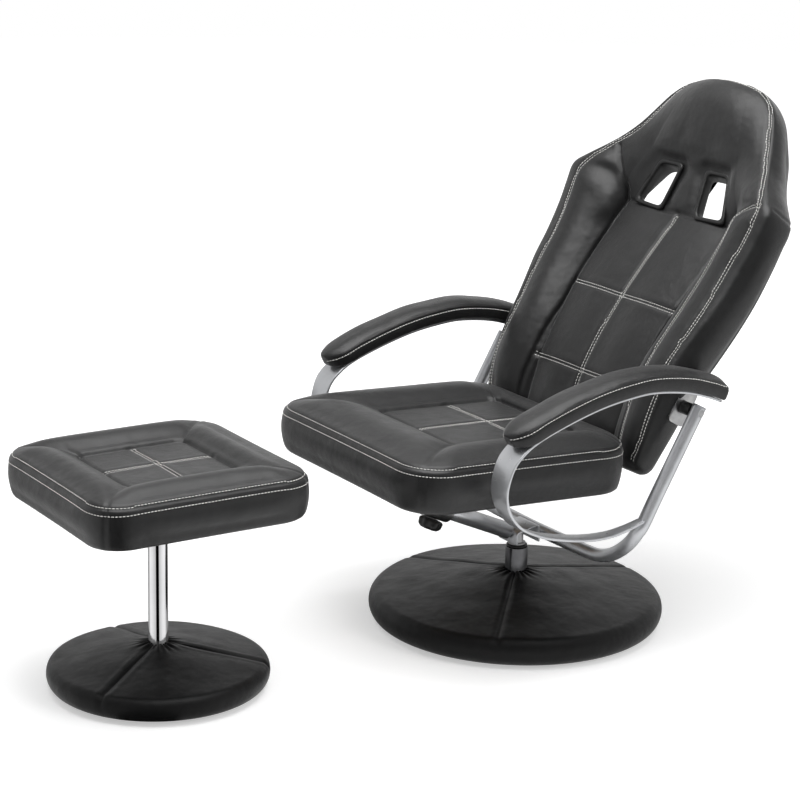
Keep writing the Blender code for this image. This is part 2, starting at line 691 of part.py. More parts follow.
def make_side(side, frame_tube, frame, looks):
    """One arm: its band and pad, and the bolt on which the back turns."""
    hand = "left" if side > 0 else "right"
    band = put(f"arm_band_{hand}", band_mesh(side), looks["silver"], frame)
    lower = [tuple(point) for point in tube_route()[6:-2]]
    clear = tube(mirror_x(lower, side), TUBE_RADIUS + FIT_GAP, TUBE_SIDES * 2)
    combine(band, put_cutter(f"band_end_cut_{hand}", clear, frame))
    put(f"arm_pad_{hand}", pad_mesh(side), looks["leather"], frame)
    make_pivot_bolt(side, hand, frame_tube, frame, looks)


def make_pivot_bolt(side, hand, frame_tube, frame, looks):
    """The bolt through the tube, sunk in a counterbore, and the spacer beside the tube."""
    seat_x = ARM_X + TUBE_RADIUS - COUNTERBORE_DEPTH
    far_x = ARM_X + TUBE_RADIUS + OVERRUN
    plate_face_x = plate_x() + PIVOT_PLATE_SHEET

    def at(x):
        return (side * x, PIVOT_Y, PIVOT_Z)

    hole = rod(at(plate_face_x), at(far_x), PIVOT_BOLT_RADIUS + FIT_GAP, 12)
    combine(frame_tube, put_cutter(f"pivot_hole_{hand}", hole, frame))
    wide = rod(at(seat_x), at(far_x), PIVOT_HEAD_RADIUS + FIT_GAP * 3, 16)
    combine(frame_tube, put_cutter(f"counterbore_{hand}", wide, frame))
    head = rod(at(seat_x + FIT_GAP), at(seat_x + FIT_GAP + PIVOT_HEAD_HEIGHT),
               PIVOT_HEAD_RADIUS, 12)
    bolt = put(f"pivot_bolt_{hand}", head, looks["steel"], frame, smooth=False)
    shank_x = plate_x() - PIVOT_PLATE_HALF_DEPTH
    shank = rod(at(shank_x), at(seat_x + PIVOT_HEAD_HEIGHT / 2), PIVOT_BOLT_RADIUS, 12)
    combine(bolt, put_cutter(f"pivot_shank_{hand}", shank, frame), "UNION")
    spacer = rod(at(plate_face_x + RUN_GAP), at(ARM_X - TUBE_RADIUS - FIT_GAP), SPACER_RADIUS, 20)
    piece = put(f"pivot_spacer_{hand}", spacer, looks["plastic"], frame)
    combine(piece, put_cutter(f"spacer_hole_{hand}",
                              rod(at(plate_face_x - OVERRUN), at(far_x), PIVOT_BOLT_RADIUS + FIT_GAP, 12),
                              frame))


def rail_point(distance, drop=0.0):
    """A point along the rail from its rear end, a drop below its middle."""
    forward = (-math.cos(RAIL_SLOPE), math.sin(RAIL_SLOPE))
    down = (-math.sin(RAIL_SLOPE), -math.cos(RAIL_SLOPE))
    return (0.0, BRACKET_FRONT_Y + forward[0] * distance + down[0] * drop,
            RAIL_START_Z + forward[1] * distance + down[1] * drop)


def clamp_distance():
    """How far along the rail the clamp's middle is at rest."""
    return (BRACKET_FRONT_Y - CLAMP_Y) / math.cos(RAIL_SLOPE)


def make_rail(frame, looks):
    """The seat's rail, cut square to the bracket's face, and the cap on its front end."""
    mesh = rod(rail_point(-OVERRUN), rail_point(RAIL_LENGTH), RAIL_RADIUS, 20)
    trim(mesh, (0.0, BRACKET_FRONT_Y - FIT_GAP, 0.0), (0.0, 1.0, 0.0))
    put("seat_rail", mesh, looks["silver"], frame)
    cap = rod(rail_point(RAIL_LENGTH + FIT_GAP), rail_point(RAIL_LENGTH + RAIL_CAP_LENGTH),
              RAIL_RADIUS, 20, RAIL_RADIUS - RING_CHAMFER)
    put("rail_cap", cap, looks["plastic"], frame, smooth=False)


def seat_matrix():
    """The seat's own frame: tilted about X, with its origin under the cushion."""
    return Matrix.Translation((0.0, 0.0, SEAT_BOTTOM_Z)) @ Matrix.Rotation(-SEAT_TILT, 4, "X")


def rail_matrix():
    """The plane across the rail at the clamp: X across, Y up from the rail, Z along it."""
    middle = rail_point(clamp_distance())
    c, s = math.cos(RAIL_SLOPE), math.sin(RAIL_SLOPE)
    return Matrix(((1, 0, 0, 0.0), (0, s, c, middle[1]), (0, c, -s, middle[2]), (0, 0, 0, 1)))


def make_clamp(frame, looks):
    """The block that slides on the rail and reaches up to the seat's board."""
    collar = RAIL_RADIUS + CLAMP_WALL
    neck = CLAMP_NECK_HALF_WIDTH
    shoulder = math.degrees(math.asin(math.sqrt(1 - (neck / collar) ** 2)))
    outline = [(-neck, SEAT_HEIGHT)]
    outline += arc((0.0, 0.0), collar, 180 - shoulder, 360 + shoulder, 18)
    outline += [(neck, SEAT_HEIGHT)]
    bore = arc((0.0, 0.0), RAIL_RADIUS + RUN_GAP, 0, 345, 23)
    mesh = slab([outline, bore], CLAMP_HALF_LENGTH, rail_matrix())
    board_face = seat_matrix() @ Vector((0.0, 0.0, -FIT_GAP))
    up = seat_matrix().to_3x3() @ Vector((0.0, 0.0, 1.0))
    trim(mesh, board_face, up)
    clamp = put("rail_clamp", mesh, looks["steel"], frame, in_world=True)
    middle = clamp_distance()
    hole = rod(rail_point(middle), rail_point(middle, collar + OVERRUN), STUD_RADIUS + RUN_GAP, 12)
    combine(clamp, put_cutter("stud_hole", hole, frame, in_world=True))


def make_knob(frame, looks):
    """The lobed knob under the clamp, with its stud up to the rail."""
    collar = RAIL_RADIUS + CLAMP_WALL
    middle = clamp_distance()
    neck_top = collar + RUN_GAP
    top = neck_top + KNOB_NECK_HEIGHT
    turn = Matrix.Rotation(math.pi - RAIL_SLOPE, 4, "X")

    def across(drop):
        return Matrix.Translation(rail_point(middle, drop)) @ turn

    angles = [2 * math.pi * i / (KNOB_LOBES * 6) for i in range(KNOB_LOBES * 6)]
    outline = [((KNOB_RADIUS - KNOB_LOBE_DEPTH * (1 - math.cos(KNOB_LOBES * a)) / 2) * math.cos(a),
                (KNOB_RADIUS - KNOB_LOBE_DEPTH * (1 - math.cos(KNOB_LOBES * a)) / 2) * math.sin(a))
               for a in angles]
    rings = []
    for drop, size in KNOB_SECTION_SHARES:
        place = across(top + drop * KNOB_HEIGHT)
        rings.append([place @ Vector((x * size, y * size, 0.0)) for x, y in outline])
    knob = put("tension_knob", loft(rings), looks["plastic"], frame, in_world=True)
    neck = rod(rail_point(middle, neck_top), rail_point(middle, top + KNOB_NECK_HEIGHT),
               KNOB_NECK_RADIUS, 16)
    combine(knob, put_cutter("knob_neck", neck, frame, in_world=True), "UNION")
    stud = rod(rail_point(middle, RAIL_RADIUS + FIT_GAP), rail_point(middle, top + KNOB_HEIGHT / 2),
               STUD_RADIUS, 12)
    combine(knob, put_cutter("knob_stud", stud, frame, in_world=True), "UNION")


def level_ring(outer, panel, inward, size, height):
    """One level of a cushion: a rounded rectangle between its outline and its panel's."""
    half_x = outer["half"] + (panel["half"] - outer["half"]) * inward
    front = outer["front"] + (panel["front"] - outer["front"]) * inward
    rear = outer["rear"] + (panel["rear"] - outer["rear"]) * inward
    radius = (outer["radius"] + (panel["radius"] - outer["radius"]) * inward) * size
    half_y = (rear - front) / 2 * size
    middle = (front + rear) / 2
    half_x *= size
    ring = []
    for sign_x, sign_y, start in ((1, 1, 0), (-1, 1, 90), (-1, -1, 180), (1, -1, 270)):
        corner = (sign_x * (half_x - radius), middle + sign_y * (half_y - radius))
        ring += arc(corner, radius, start, start + 90, 4)
        ring += draw_in(sign_x, sign_y, half_x, half_y, radius, middle, inward)
    return [(x, y, height) for x, y in ring]


def draw_in(sign_x, sign_y, half_x, half_y, radius, middle, inward):
    """The points between two corners, drawn in a little towards the cushion's middle."""
    pull = SIDE_DRAW_SHARE * max(0.0, 1 - inward)
    points = []
    for i in range(1, 4):
        along = 1 - i / 2
        depth = pull * (1 - along * along)
        if sign_x == sign_y:
            x = sign_x * along * (half_x - radius)
            points.append((x, middle + sign_y * half_y * (1 - depth)))
        else:
            y = middle + sign_y * along * (half_y - radius)
            points.append((sign_x * half_x * (1 - depth), y))
    return points


def cushion_mesh(outer, panel, height):
    """A cushion: drawn-in sides, a crowned border and a lower panel in its middle."""
    rings = [level_ring(outer, panel, inward, 1.0, up * height)
             for inward, up in CUSHION_LEVEL_SHARES]
    rings += [level_ring(outer, panel, 1.0, size, up * height)
              for size, up in PANEL_LEVEL_SHARES]
    return loft(rings)


def board_box(outer, inset, low, high):
    """The rounded board of a cushion, between two heights."""
    small = dict(outer, half=outer["half"] - inset, front=outer["front"] + inset,
                 rear=outer["rear"] - inset, radius=outer["radius"] - inset / 2)
    rings = [level_ring(small, small, 1.0, 1.0, height) for height in (low, high)]
    return loft(rings)


def make_cushion(name, board_name, outer, panel, height, inset, thickness, frame, looks):
    """A cushion with its board let into its underside."""
    cushion = put(name, cushion_mesh(outer, panel, height), looks["leather"], frame)
    pocket = board_box(outer, inset - FIT_GAP, -OVERRUN, thickness + FIT_GAP)
    combine(cushion, put_cutter(name + "_pocket", pocket, frame))
    put(board_name, board_box(outer, inset, 0.0, thickness), looks["board"], frame, smooth=False)


def make_seat(frame, looks):
    """The seat's cushion and board, in the seat's tilted frame."""
    outer = dict(half=SEAT_HALF_WIDTH, front=SEAT_FRONT_Y, rear=SEAT_REAR_Y,
                 radius=SEAT_CORNER_RADIUS)
    panel = dict(half=SEAT_PANEL_HALF_WIDTH, front=SEAT_PANEL_FRONT_Y, rear=SEAT_PANEL_REAR_Y,
                 radius=SEAT_PANEL_RADIUS)
    make_cushion("seat_cushion", "seat_board", outer, panel, SEAT_HEIGHT, SEAT_BOARD_INSET,
                 SEAT_BOARD_THICKNESS, frame, looks)


def link_eye():
    """The lower link's pin, as y and z: it moves square to the line from the pivot."""
    return (PIVOT_Y - LINK_RADIUS * math.sin(RAIL_SLOPE),
            PIVOT_Z - LINK_RADIUS * math.cos(RAIL_SLOPE))


def make_link(side, seat_frame, back_frame, looks):
    """A strap from the seat's board to the back's lower end, its pin and the back's tab."""
    hand = "left" if side > 0 else "right"
    eye_y, eye_z = link_eye()
    seat = seat_matrix()
    top = [seat @ Vector((0.0, y, -FIT_GAP)) for y in (-LINK_REACH_FORWARD, SEAT_REAR_Y)]
    eye = arc((eye_y, eye_z), LINK_EYE_RADIUS, -100, 150, 8)
    outline = [(top[0].y, top[0].z - LINK_EYE_RADIUS), (top[0].y + LINK_EYE_RADIUS,
                                                        top[0].z - 2 * LINK_EYE_RADIUS)]
    outline += eye + [(top[1].y, top[1].z), (top[0].y, top[0].z)]
    rise = (math.sin(RAIL_SLOPE) * LINK_SLOT_TRAVEL, math.cos(RAIL_SLOPE) * LINK_SLOT_TRAVEL)
    hole_radius = PIN_RADIUS + RUN_GAP
    tilt = 90 - math.degrees(RAIL_SLOPE)
    slot = arc((eye_y + rise[0], eye_z + rise[1]), hole_radius, tilt - 90, tilt + 90, 6)
    slot += arc((eye_y, eye_z), hole_radius, tilt + 90, tilt + 270, 6)
    mesh = slab([outline, slot], LINK_SHEET / 2, upright(side * LINK_X))
    put(f"seat_link_{hand}", mesh, looks["steel"], seat_frame, in_world=True, smooth=False)
    tab_x = LINK_X + LINK_SHEET + RUN_GAP
    put(f"back_tab_{hand}", tab_mesh(side * tab_x), looks["steel"], back_frame, smooth=False)
    inner = (side * (LINK_X - LINK_SHEET), eye_y, eye_z)
    outer = (side * (tab_x - LINK_SHEET / 2 - FIT_GAP), eye_y, eye_z)
    pin = rod(inner, outer, PIN_RADIUS, 12)
    put(f"link_pin_{hand}", pin, looks["steel"], back_frame, in_world=True)


def back_matrix():
    """The back's frame: on the pivot, X across, Y to the rear and Z up along the back."""
    return Matrix.Translation((0.0, PIVOT_Y, PIVOT_Z)) @ Matrix.Rotation(-RECLINE, 4, "X")


def tab_mesh(x):
    """A tab from the back's board down to the link's pin, in the back's own frame."""
    eye = back_matrix().inverted() @ Vector((0.0, *link_eye()))
    depth = board_depth(0.0)
    half = BACK_BOARD_THICKNESS / 2 - RUN_GAP
    top_z = -BACK_BELOW_PIVOT + board_low_height() - FIT_GAP
    low_z = -BACK_BELOW_PIVOT - FIT_GAP
    eye_radius = LINK_EYE_RADIUS * 0.64
    outline = [(depth - half, top_z), (depth - half, low_z)]
    outline += arc((eye.y, eye.z), eye_radius, 190, 400, 8)
    outline += [(depth + half, low_z), (depth + half, top_z)]
    return slab([outline], LINK_SHEET / 2, upright(x))


def board_low_height():
    """Height of the board's lower edge above the back's lower end."""
    return BACK_BOARD_INSET * 0.6


def board_depth(height):
    """Depth of the board's middle at a height above the back's lower end, even below the board."""
    shares = np.array(BACK_BOARD_SHARES)
    share = max(height, board_low_height()) / BACK_HEIGHT
    return float(np.interp(share, shares[:, 0], shares[:, 1])) * BACK_DEPTH


def half_width(height):
    """Half width of the back's front edge at a height above its lower end."""
    shares = np.array(BACK_STATION_SHARES)
    return float(np.interp(height / BACK_HEIGHT, shares[:, 0], shares[:, 1])) * SHOULDER_HALF_WIDTH


def plate_x():
    """Where a pivot's plate starts, just outside the widest of the cushion that it covers."""
    shares = np.array(BACK_STATION_SHARES)
    height = BACK_BELOW_PIVOT + PIVOT_PLATE_HALF_HEIGHT
    bulge = float(np.interp(height / BACK_HEIGHT, shares[:, 0], shares[:, 5])) * BACK_SIDE_BULGE
    return half_width(height) + bulge + FIT_GAP


def back_section(width, edge, recess, rear, bulge):
    """Half of a section across the back, from the front's middle round to the rear's."""
    seam = min(BACK_SEAM_X, width * 0.62)
    roll = BACK_SEAM_ROLL
    rim = width - seam
    depth = rear - edge
    return [
        (0.0, recess), (seam * 0.5, recess), (seam - roll * 2, recess + roll * 0.8),
        (seam, recess + roll * 1.6), (seam + rim * 0.2, recess + (edge - recess) * 0.40),
        (seam + rim * 0.5, recess + (edge - recess) * 0.86), (width - rim * 0.22, edge - roll),
        (width, edge), (width + bulge * 0.75, edge + depth * 0.02),
        (width + bulge, edge + depth * 0.25), (width + bulge * 0.80, edge + depth * 0.60),
        (width + roll - bulge * 0.33, rear - depth * 0.13),
        (width - roll * 5 * width / SHOULDER_HALF_WIDTH, rear - roll * 0.4),
        (width * 0.5, rear + roll * 0.3), (0.0, rear + roll * 0.5),
    ]


def back_mesh():
    """The back cushion, lofted through its sections from the lower end to the crown."""
    rings = []
    for height, width, edge, recess, rear, bulge in BACK_STATION_SHARES:
        half = back_section(width * SHOULDER_HALF_WIDTH, edge * BACK_DEPTH, recess * BACK_DEPTH,
                            rear * BACK_DEPTH, bulge * BACK_SIDE_BULGE)
        up = height * BACK_HEIGHT - BACK_BELOW_PIVOT
        ring = [(x, depth, up) for x, depth in half]
        ring += [(-x, depth, up) for x, depth in half[-2:0:-1]]
        rings.append(ring)
    return loft(rings)


def board_mesh(grow, heights):
    """The curved board of the back, or with some growth the pocket that it lies in."""
    rings = []
    half_depth = BACK_BOARD_THICKNESS / 2 + grow
    for height in heights:
        half = half_width(height) - BACK_BOARD_INSET + grow
        middle = board_depth(height)
        up = height - BACK_BELOW_PIVOT
        rings.append([(-half, middle - half_depth, up), (half, middle - half_depth, up),
                      (half, middle + half_depth, up), (-half, middle + half_depth, up)])
    return loft(rings)


def ring_bottom():
    """How far above the pivot the harness holes start, along the back."""
    return RING_BOTTOM_SHARE * BACK_HEIGHT - BACK_BELOW_PIVOT


def ring_outline(side, offset, steps=4):
    """The outline of a harness ring, as x and height above the pivot, grown by an offset."""
    radius = RING_CORNER_RADIUS
    corners = []
    for across, up in RING_CORNER_SHARES:
        x = RING_INNER_X + across * RING_WIDTH
        z = ring_bottom() + up * RING_HEIGHT
        corners.append((x, z))
    middle = np.mean(corners, axis=0)
    core = [(x + math.copysign(radius, middle[0] - x), z + math.copysign(radius, middle[1] - z))
            for x, z in corners]
    outline = rounded_outline(core, radius + offset, steps)
    return [(side * x, z) for x, z in outline]


def ring_depth(z, depth, slope):
    """Depth of a harness ring's face, which leans with the surface round it."""
    return depth - slope * (z - ring_bottom())


def hole_prism(side, offset, front, rear_depth):
    """A prism through the back with a harness ring's outline."""
    outline = ring_outline(side, offset)
    face = [(x, ring_depth(z, rear_depth, RING_FRONT_SLOPE), z) for x, z in outline]
    return loft([[(x, front, z) for x, z in outline], face])


def ring_front(z):
    """Depth of the seat of a harness ring's flange."""
    return ring_depth(z, RING_FRONT_DEPTH, RING_FRONT_SLOPE)


def ring_rear(z):
    """Depth of the rear ring's seat on the back's rear."""
    return ring_depth(z, RING_REAR_DEPTH, RING_REAR_SLOPE)


def make_harness_ring(side, cushion, board, frame, looks):
    """A harness sleeve with its flange, its rear ring, and the holes that they sit in."""
    hand = "left" if side > 0 else "right"
    far = BACK_DEPTH + OVERRUN
    flange_cut = hole_prism(side, FIT_GAP, -far, RING_FRONT_DEPTH)
    combine(cushion, put_cutter(f"harness_seat_{hand}", flange_cut, frame))
    sleeve = hole_prism(side, FIT_GAP - RING_STEP, -far, far)
    cutter = put_cutter(f"harness_hole_{hand}", sleeve, frame)
    combine(cushion, cutter)
    combine(board, cutter)
    profile = (
        (-RING_CHAMFER, lambda z: ring_front(z) - RING_FLANGE),
        (0.0, lambda z: ring_front(z) - RING_FLANGE + RING_CHAMFER),
        (0.0, lambda z: ring_front(z) - FIT_GAP),
        (-RING_STEP, lambda z: ring_front(z) - FIT_GAP),
        (-RING_STEP, lambda z: ring_rear(z) + RING_TRIM_THICKNESS),
        (-RING_BAND, lambda z: ring_rear(z) + RING_TRIM_THICKNESS),
        (-RING_BAND, lambda z: ring_front(z) - RING_FLANGE + RING_CHAMFER),
        (-RING_BAND + RING_CHAMFER, lambda z: ring_front(z) - RING_FLANGE),
    )
    rings = [[(x, depth(z), z) for x, z in ring_outline(side, offset)]
             for offset, depth in profile]
    put(f"harness_ring_{hand}", loft(rings, round_and_round=True), looks["plastic"], frame)
    inner = FIT_GAP - RING_STEP
    trim_profile = ((0.0, 0.0), (0.0, RING_TRIM_THICKNESS), (inner, RING_TRIM_THICKNESS),
                    (inner, 0.0))
    rings = [[(x, ring_rear(z) + rise, z) for x, z in ring_outline(side, offset)]
             for offset, rise in trim_profile]
    put(f"harness_trim_{hand}", loft(rings, round_and_round=True), looks["plastic"], frame)


def make_pivot_bracket(side, cushion, pocket, frame, looks):
    """A plate on the back's side, with a boss that reaches in to the board."""
    hand = "left" if side > 0 else "right"
    inner_x = half_width(BACK_BELOW_PIVOT) - BACK_BOARD_INSET - BOSS_RADIUS / 2
    corner = PIVOT_PLATE_SHEET * 2
    half_depth, half_height = PIVOT_PLATE_HALF_DEPTH - corner, PIVOT_PLATE_HALF_HEIGHT - corner
    outline = rounded_outline([(half_depth, -half_height), (half_depth, half_height),
                               (-half_depth, half_height), (-half_depth, -half_height)],
                              corner, 4)
    middle = plate_x() + PIVOT_PLATE_SHEET / 2
    plate = slab([outline], PIVOT_PLATE_SHEET / 2, upright(side * middle))
    bracket = put(f"pivot_bracket_{hand}", plate, looks["steel"], frame, smooth=False)
    boss = rod((side * inner_x, 0.0, 0.0), (side * middle, 0.0, 0.0), BOSS_RADIUS, 16)
    combine(bracket, put_cutter(f"pivot_boss_{hand}", boss, frame), "UNION")
    combine(bracket, pocket)
    bore = rod((side * (plate_x() - PIVOT_PLATE_HALF_DEPTH * 1.2), 0.0, 0.0),
               (side * (plate_x() + OVERRUN), 0.0, 0.0), PIVOT_BOLT_RADIUS + RUN_GAP, 12)
    combine(bracket, put_cutter(f"boss_bore_{hand}", bore, frame))
    hole = rod((side * inner_x, 0.0, 0.0), (side * (plate_x() + OVERRUN), 0.0, 0.0),
               BOSS_RADIUS + FIT_GAP, 16)
    combine(cushion, put_cutter(f"boss_hole_{hand}", hole, frame))


def make_back(frame, looks):
    """The back: cushion, board, harness rings and the brackets of its pivots."""
    cushion = put("back_cushion", back_mesh(), looks["leather"], frame)
    high = BACK_BOARD_TOP_SHARE * BACK_HEIGHT
    heights = list(np.linspace(board_low_height(), high, BACK_BOARD_STATIONS))
    board = put("back_board", board_mesh(0.0, heights), looks["board"], frame, smooth=False)
    pocket_mesh = board_mesh(FIT_GAP, [-OVERRUN, *heights, high + FIT_GAP])
    pocket = put_cutter("back_pocket", pocket_mesh, frame)
    combine(cushion, pocket)
    for side in (1, -1):
        make_harness_ring(side, cushion, board, frame, looks)
        make_pivot_bracket(side, cushion, pocket, frame, looks)


def make_stool(frame, looks):
    """The footstool: base, pole, plate, board and cushion, in its own frame."""
    board_radius = STOOL_RADIUS - STOOL_RIM_RADIUS - COVER_WALL
    board_low = GLIDE_HEIGHT + FIT_GAP
    board_top = board_low + BASE_BOARD_THICKNESS
    mesh = rod((0.0, 0.0, board_low), (0.0, 0.0, board_top), board_radius, 40)
    put("stool_board", mesh, looks["board"], frame, smooth=False)
    profile = base_cover_profile(STOOL_RADIUS, STOOL_RIM_RADIUS, STOOL_CONE_TOP_Z,
                                 POLE_RADIUS + FIT_GAP, board_radius + FIT_GAP)
    turned("stool_cover", profile, looks["leather"], frame, 40)
    make_glides("stool_glide", STOOL_GLIDE_COUNT, board_radius - GLIDE_INSET / 2,
                STOOL_GLIDE_TURN, looks["plastic"], frame)
    foot_low = board_top + FIT_GAP
    foot_top = foot_low + COLUMN_FOOT_THICKNESS
    plate_low = STOOL_BOTTOM_Z - FIT_GAP - STOOL_PLATE_THICKNESS
    bore = POLE_RADIUS - POLE_WALL
    pole_top = plate_low - FIT_GAP
    profile = [(bore, pole_top), (POLE_RADIUS, pole_top), (POLE_RADIUS, foot_top),
               (POLE_FOOT_RADIUS, foot_top), (POLE_FOOT_RADIUS, foot_low), (bore, foot_low)]
    turned("stool_pole", profile, looks["chrome"], frame, 28)
    half = STOOL_PLATE_HALF_WIDTH
    plate = dict(half=half, front=-half, rear=half, radius=STOOL_PANEL_RADIUS)
    mesh = loft([level_ring(plate, plate, 1.0, 1.0, height)
                 for height in (plate_low, plate_low + STOOL_PLATE_THICKNESS)])
    put("stool_plate", mesh, looks["steel"], frame, smooth=False)


def make_stool_cushion(frame, looks):
    """The footstool's cushion and its board."""
    half = STOOL_HALF_WIDTH
    outer = dict(half=half, front=-half, rear=half, radius=STOOL_CORNER_RADIUS)
    inner = STOOL_PANEL_HALF_WIDTH
    panel = dict(half=inner, front=-inner, rear=inner, radius=STOOL_PANEL_RADIUS)
    make_cushion("stool_cushion", "stool_seat_board", outer, panel, STOOL_HEIGHT,
                 STOOL_BOARD_INSET, STOOL_BOARD_THICKNESS, frame, looks)


def main():
    """Build the chair and its footstool."""
    start_collections()
    looks = {
        "leather": finish("black_leatherette", (0.016, 0.016, 0.017), 0.42, 0.0),
        "board": finish("plywood", (0.45, 0.32, 0.20), 0.7, 0.0),
        "plastic": finish("black_plastic", (0.012, 0.012, 0.012), 0.38, 0.0),
        "silver": finish("silver_paint", (0.62, 0.63, 0.65), 0.32, 0.85),
        "steel": finish("zinc_steel", (0.50, 0.50, 0.51), 0.35, 1.0),
        "dark_chrome": finish("dark_chrome", (0.30, 0.30, 0.31), 0.12, 1.0),
        "chrome": finish("chrome", (0.80, 0.80, 0.81), 0.06, 1.0),
    }
    base = Frame("base_axis", Matrix.Identity(4))
    swivel = Frame("swivel_axis", Matrix.Identity(4))
    seat = Frame("seat_axis", seat_matrix())
    back = Frame("back_axis", back_matrix())
    knob = Frame("knob_axis", Matrix.Translation(rail_point(clamp_distance())))
    stool = Frame("stool_axis", Matrix.Translation((STOOL_X, STOOL_Y, 0.0)))
    stool_seat = Frame("stool_seat", Matrix.Translation((STOOL_X, STOOL_Y, STOOL_BOTTOM_Z)))
    make_base(base, looks)
    make_bracket(swivel, looks)
    frame_tube = make_frame_tube(swivel, looks)
    for side in (1, -1):
        make_side(side, frame_tube, swivel, looks)
        make_link(side, seat, back, looks)
    make_rail(swivel, looks)
    make_clamp(seat, looks)
    make_seat(seat, looks)
    make_knob(knob, looks)
    make_back(back, looks)
    make_stool(stool, looks)
    make_stool_cushion(stool_seat, looks)


main()
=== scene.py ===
# %% [markdown]
# # A reclining swivel armchair and its footstool
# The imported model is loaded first. Its rigid pieces say where everything sits, in metres, with
# the swivel axis at the origin, Z up and the sitter facing -Y. The cells below dress that frame:
# first the camera and the light, then the finishes, then one piece after another.

# %% load the frame
import json
import math

import bmesh
import bpy
import numpy as np
from mathutils import Matrix, Vector
from mathutils.bvhtree import BVHTree


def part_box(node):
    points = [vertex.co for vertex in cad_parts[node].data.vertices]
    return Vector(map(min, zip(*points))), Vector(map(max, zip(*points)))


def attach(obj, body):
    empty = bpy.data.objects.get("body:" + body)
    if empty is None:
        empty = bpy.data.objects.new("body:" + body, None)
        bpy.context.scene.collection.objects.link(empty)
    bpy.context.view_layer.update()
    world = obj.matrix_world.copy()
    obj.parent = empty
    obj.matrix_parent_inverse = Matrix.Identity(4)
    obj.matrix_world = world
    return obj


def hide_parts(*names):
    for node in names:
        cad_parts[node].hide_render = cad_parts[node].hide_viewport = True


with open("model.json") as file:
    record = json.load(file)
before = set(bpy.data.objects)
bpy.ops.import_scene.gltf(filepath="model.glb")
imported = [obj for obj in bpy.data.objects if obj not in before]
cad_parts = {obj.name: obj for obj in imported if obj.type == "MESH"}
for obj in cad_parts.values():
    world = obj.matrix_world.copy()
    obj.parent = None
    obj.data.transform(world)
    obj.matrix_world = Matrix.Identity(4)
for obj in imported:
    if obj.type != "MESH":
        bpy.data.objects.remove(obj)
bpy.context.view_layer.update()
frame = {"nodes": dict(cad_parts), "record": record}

nodes = frame["nodes"]

# %% [markdown]
# ## The camera
# A product photograph is taken from far away with a long lens, which keeps upright edges nearly
# parallel. The view looks 15.5 degrees down on the chair's left front. Such a camera is easiest
# to write as three directions (right, up, back) and one distance, because the point of the floor
# under the swivel axis then lands on a known spot of the 800 x 800 picture.

# %% camera
AZIMUTH = math.radians(57.4)
ELEVATION = math.radians(15.5)
ROLL = math.radians(1.2)
DISTANCE = 4.600
FOCAL_PIXELS = 2400.0
ORIGIN_PIXEL = (514.2, 617.5)
PICTURE = 800
SENSOR_MM = 36.0


def aim_camera():
    """Place the camera from its directions, and shift it in its own plane so that the origin
    lands on its pixel."""
    back = Vector((math.sin(AZIMUTH) * math.cos(ELEVATION),
                   -math.cos(AZIMUTH) * math.cos(ELEVATION), math.sin(ELEVATION)))
    level = Vector((math.cos(AZIMUTH), math.sin(AZIMUTH), 0.0))
    upright = back.cross(level)
    right = level * math.cos(ROLL) + upright * math.sin(ROLL)
    up = upright * math.cos(ROLL) - level * math.sin(ROLL)
    per_pixel = DISTANCE / FOCAL_PIXELS
    place = (back * DISTANCE - right * (ORIGIN_PIXEL[0] - PICTURE / 2) * per_pixel
             - up * (PICTURE / 2 - ORIGIN_PIXEL[1]) * per_pixel)
    data = bpy.data.cameras.new("photo_camera")
    data.sensor_width = SENSOR_MM
    data.lens = FOCAL_PIXELS / PICTURE * SENSOR_MM
    camera = bpy.data.objects.new("photo_camera", data)
    turn = Matrix((right, up, back)).transposed().to_4x4()
    camera.matrix_world = Matrix.Translation(place) @ turn
    bpy.context.scene.collection.objects.link(camera)
    bpy.context.scene.camera = camera
    return camera


camera = aim_camera()
bpy.context.scene.view_settings.view_transform = "Standard"
print("camera at", [round(v, 3) for v in camera.matrix_world.translation],
      "lens", camera.data.lens)

# %% [markdown]
# ## Small helpers for node trees
# A material is a tree of nodes. A few short functions keep the cells below readable: they add a
# node and set its inputs, make a colour ramp, mix two colours, and do sums on sockets.

# %% node helpers


def node(tree, kind, **inputs):
    """Add a node of that kind to the tree and set its inputs by name."""
    made = tree.nodes.new(kind)
    for name, value in inputs.items():
        made.inputs[name.replace("_", " ")].default_value = value
    return made


def ramp(tree, factor, *stops):
    """A colour ramp: factor in, colour out, with stops of place and grey level or colour."""
    made = tree.nodes.new("ShaderNodeValToRGB")
    elements = made.color_ramp.elements
    while len(elements) < len(stops):
        elements.new(1.0)
    for element, (place, colour) in zip(elements, stops):
        element.position = place
        element.color = (*colour, 1.0) if isinstance(colour, tuple) else (colour,) * 3 + (1.0,)
    tree.links.new(factor, made.inputs["Fac"])
    return made.outputs["Color"]


def mixed(tree, factor, low, high):
    """A colour between two colours or sockets, by the factor's socket."""
    made = tree.nodes.new("ShaderNodeMix")
    made.data_type = "RGBA"
    tree.links.new(factor, made.inputs[0])
    for socket, value in ((made.inputs[6], low), (made.inputs[7], high)):
        if hasattr(value, "default_value"):
            tree.links.new(value, socket)
        else:
            socket.default_value = (*value, 1.0)
    return made.outputs[2]


def combined(tree, kind, first, second):
    """Two sockets or numbers combined by one Math node of that kind."""
    made = tree.nodes.new("ShaderNodeMath")
    made.operation = kind
    for socket, value in zip(made.inputs, (first, second)):
        if hasattr(value, "default_value"):
            tree.links.new(value, socket)
        else:
            socket.default_value = value
    return made.outputs["Value"]


def vectors(tree, kind, first, second=None):
    """A Vector Math node of that kind on a socket and, where it needs one, a fixed vector."""
    made = tree.nodes.new("ShaderNodeVectorMath")
    made.operation = kind
    tree.links.new(first, made.inputs[0])
    if second is not None:
        made.inputs[1].default_value = second
    return made.outputs["Value" if kind in ("DOT_PRODUCT", "DISTANCE") else "Vector"]


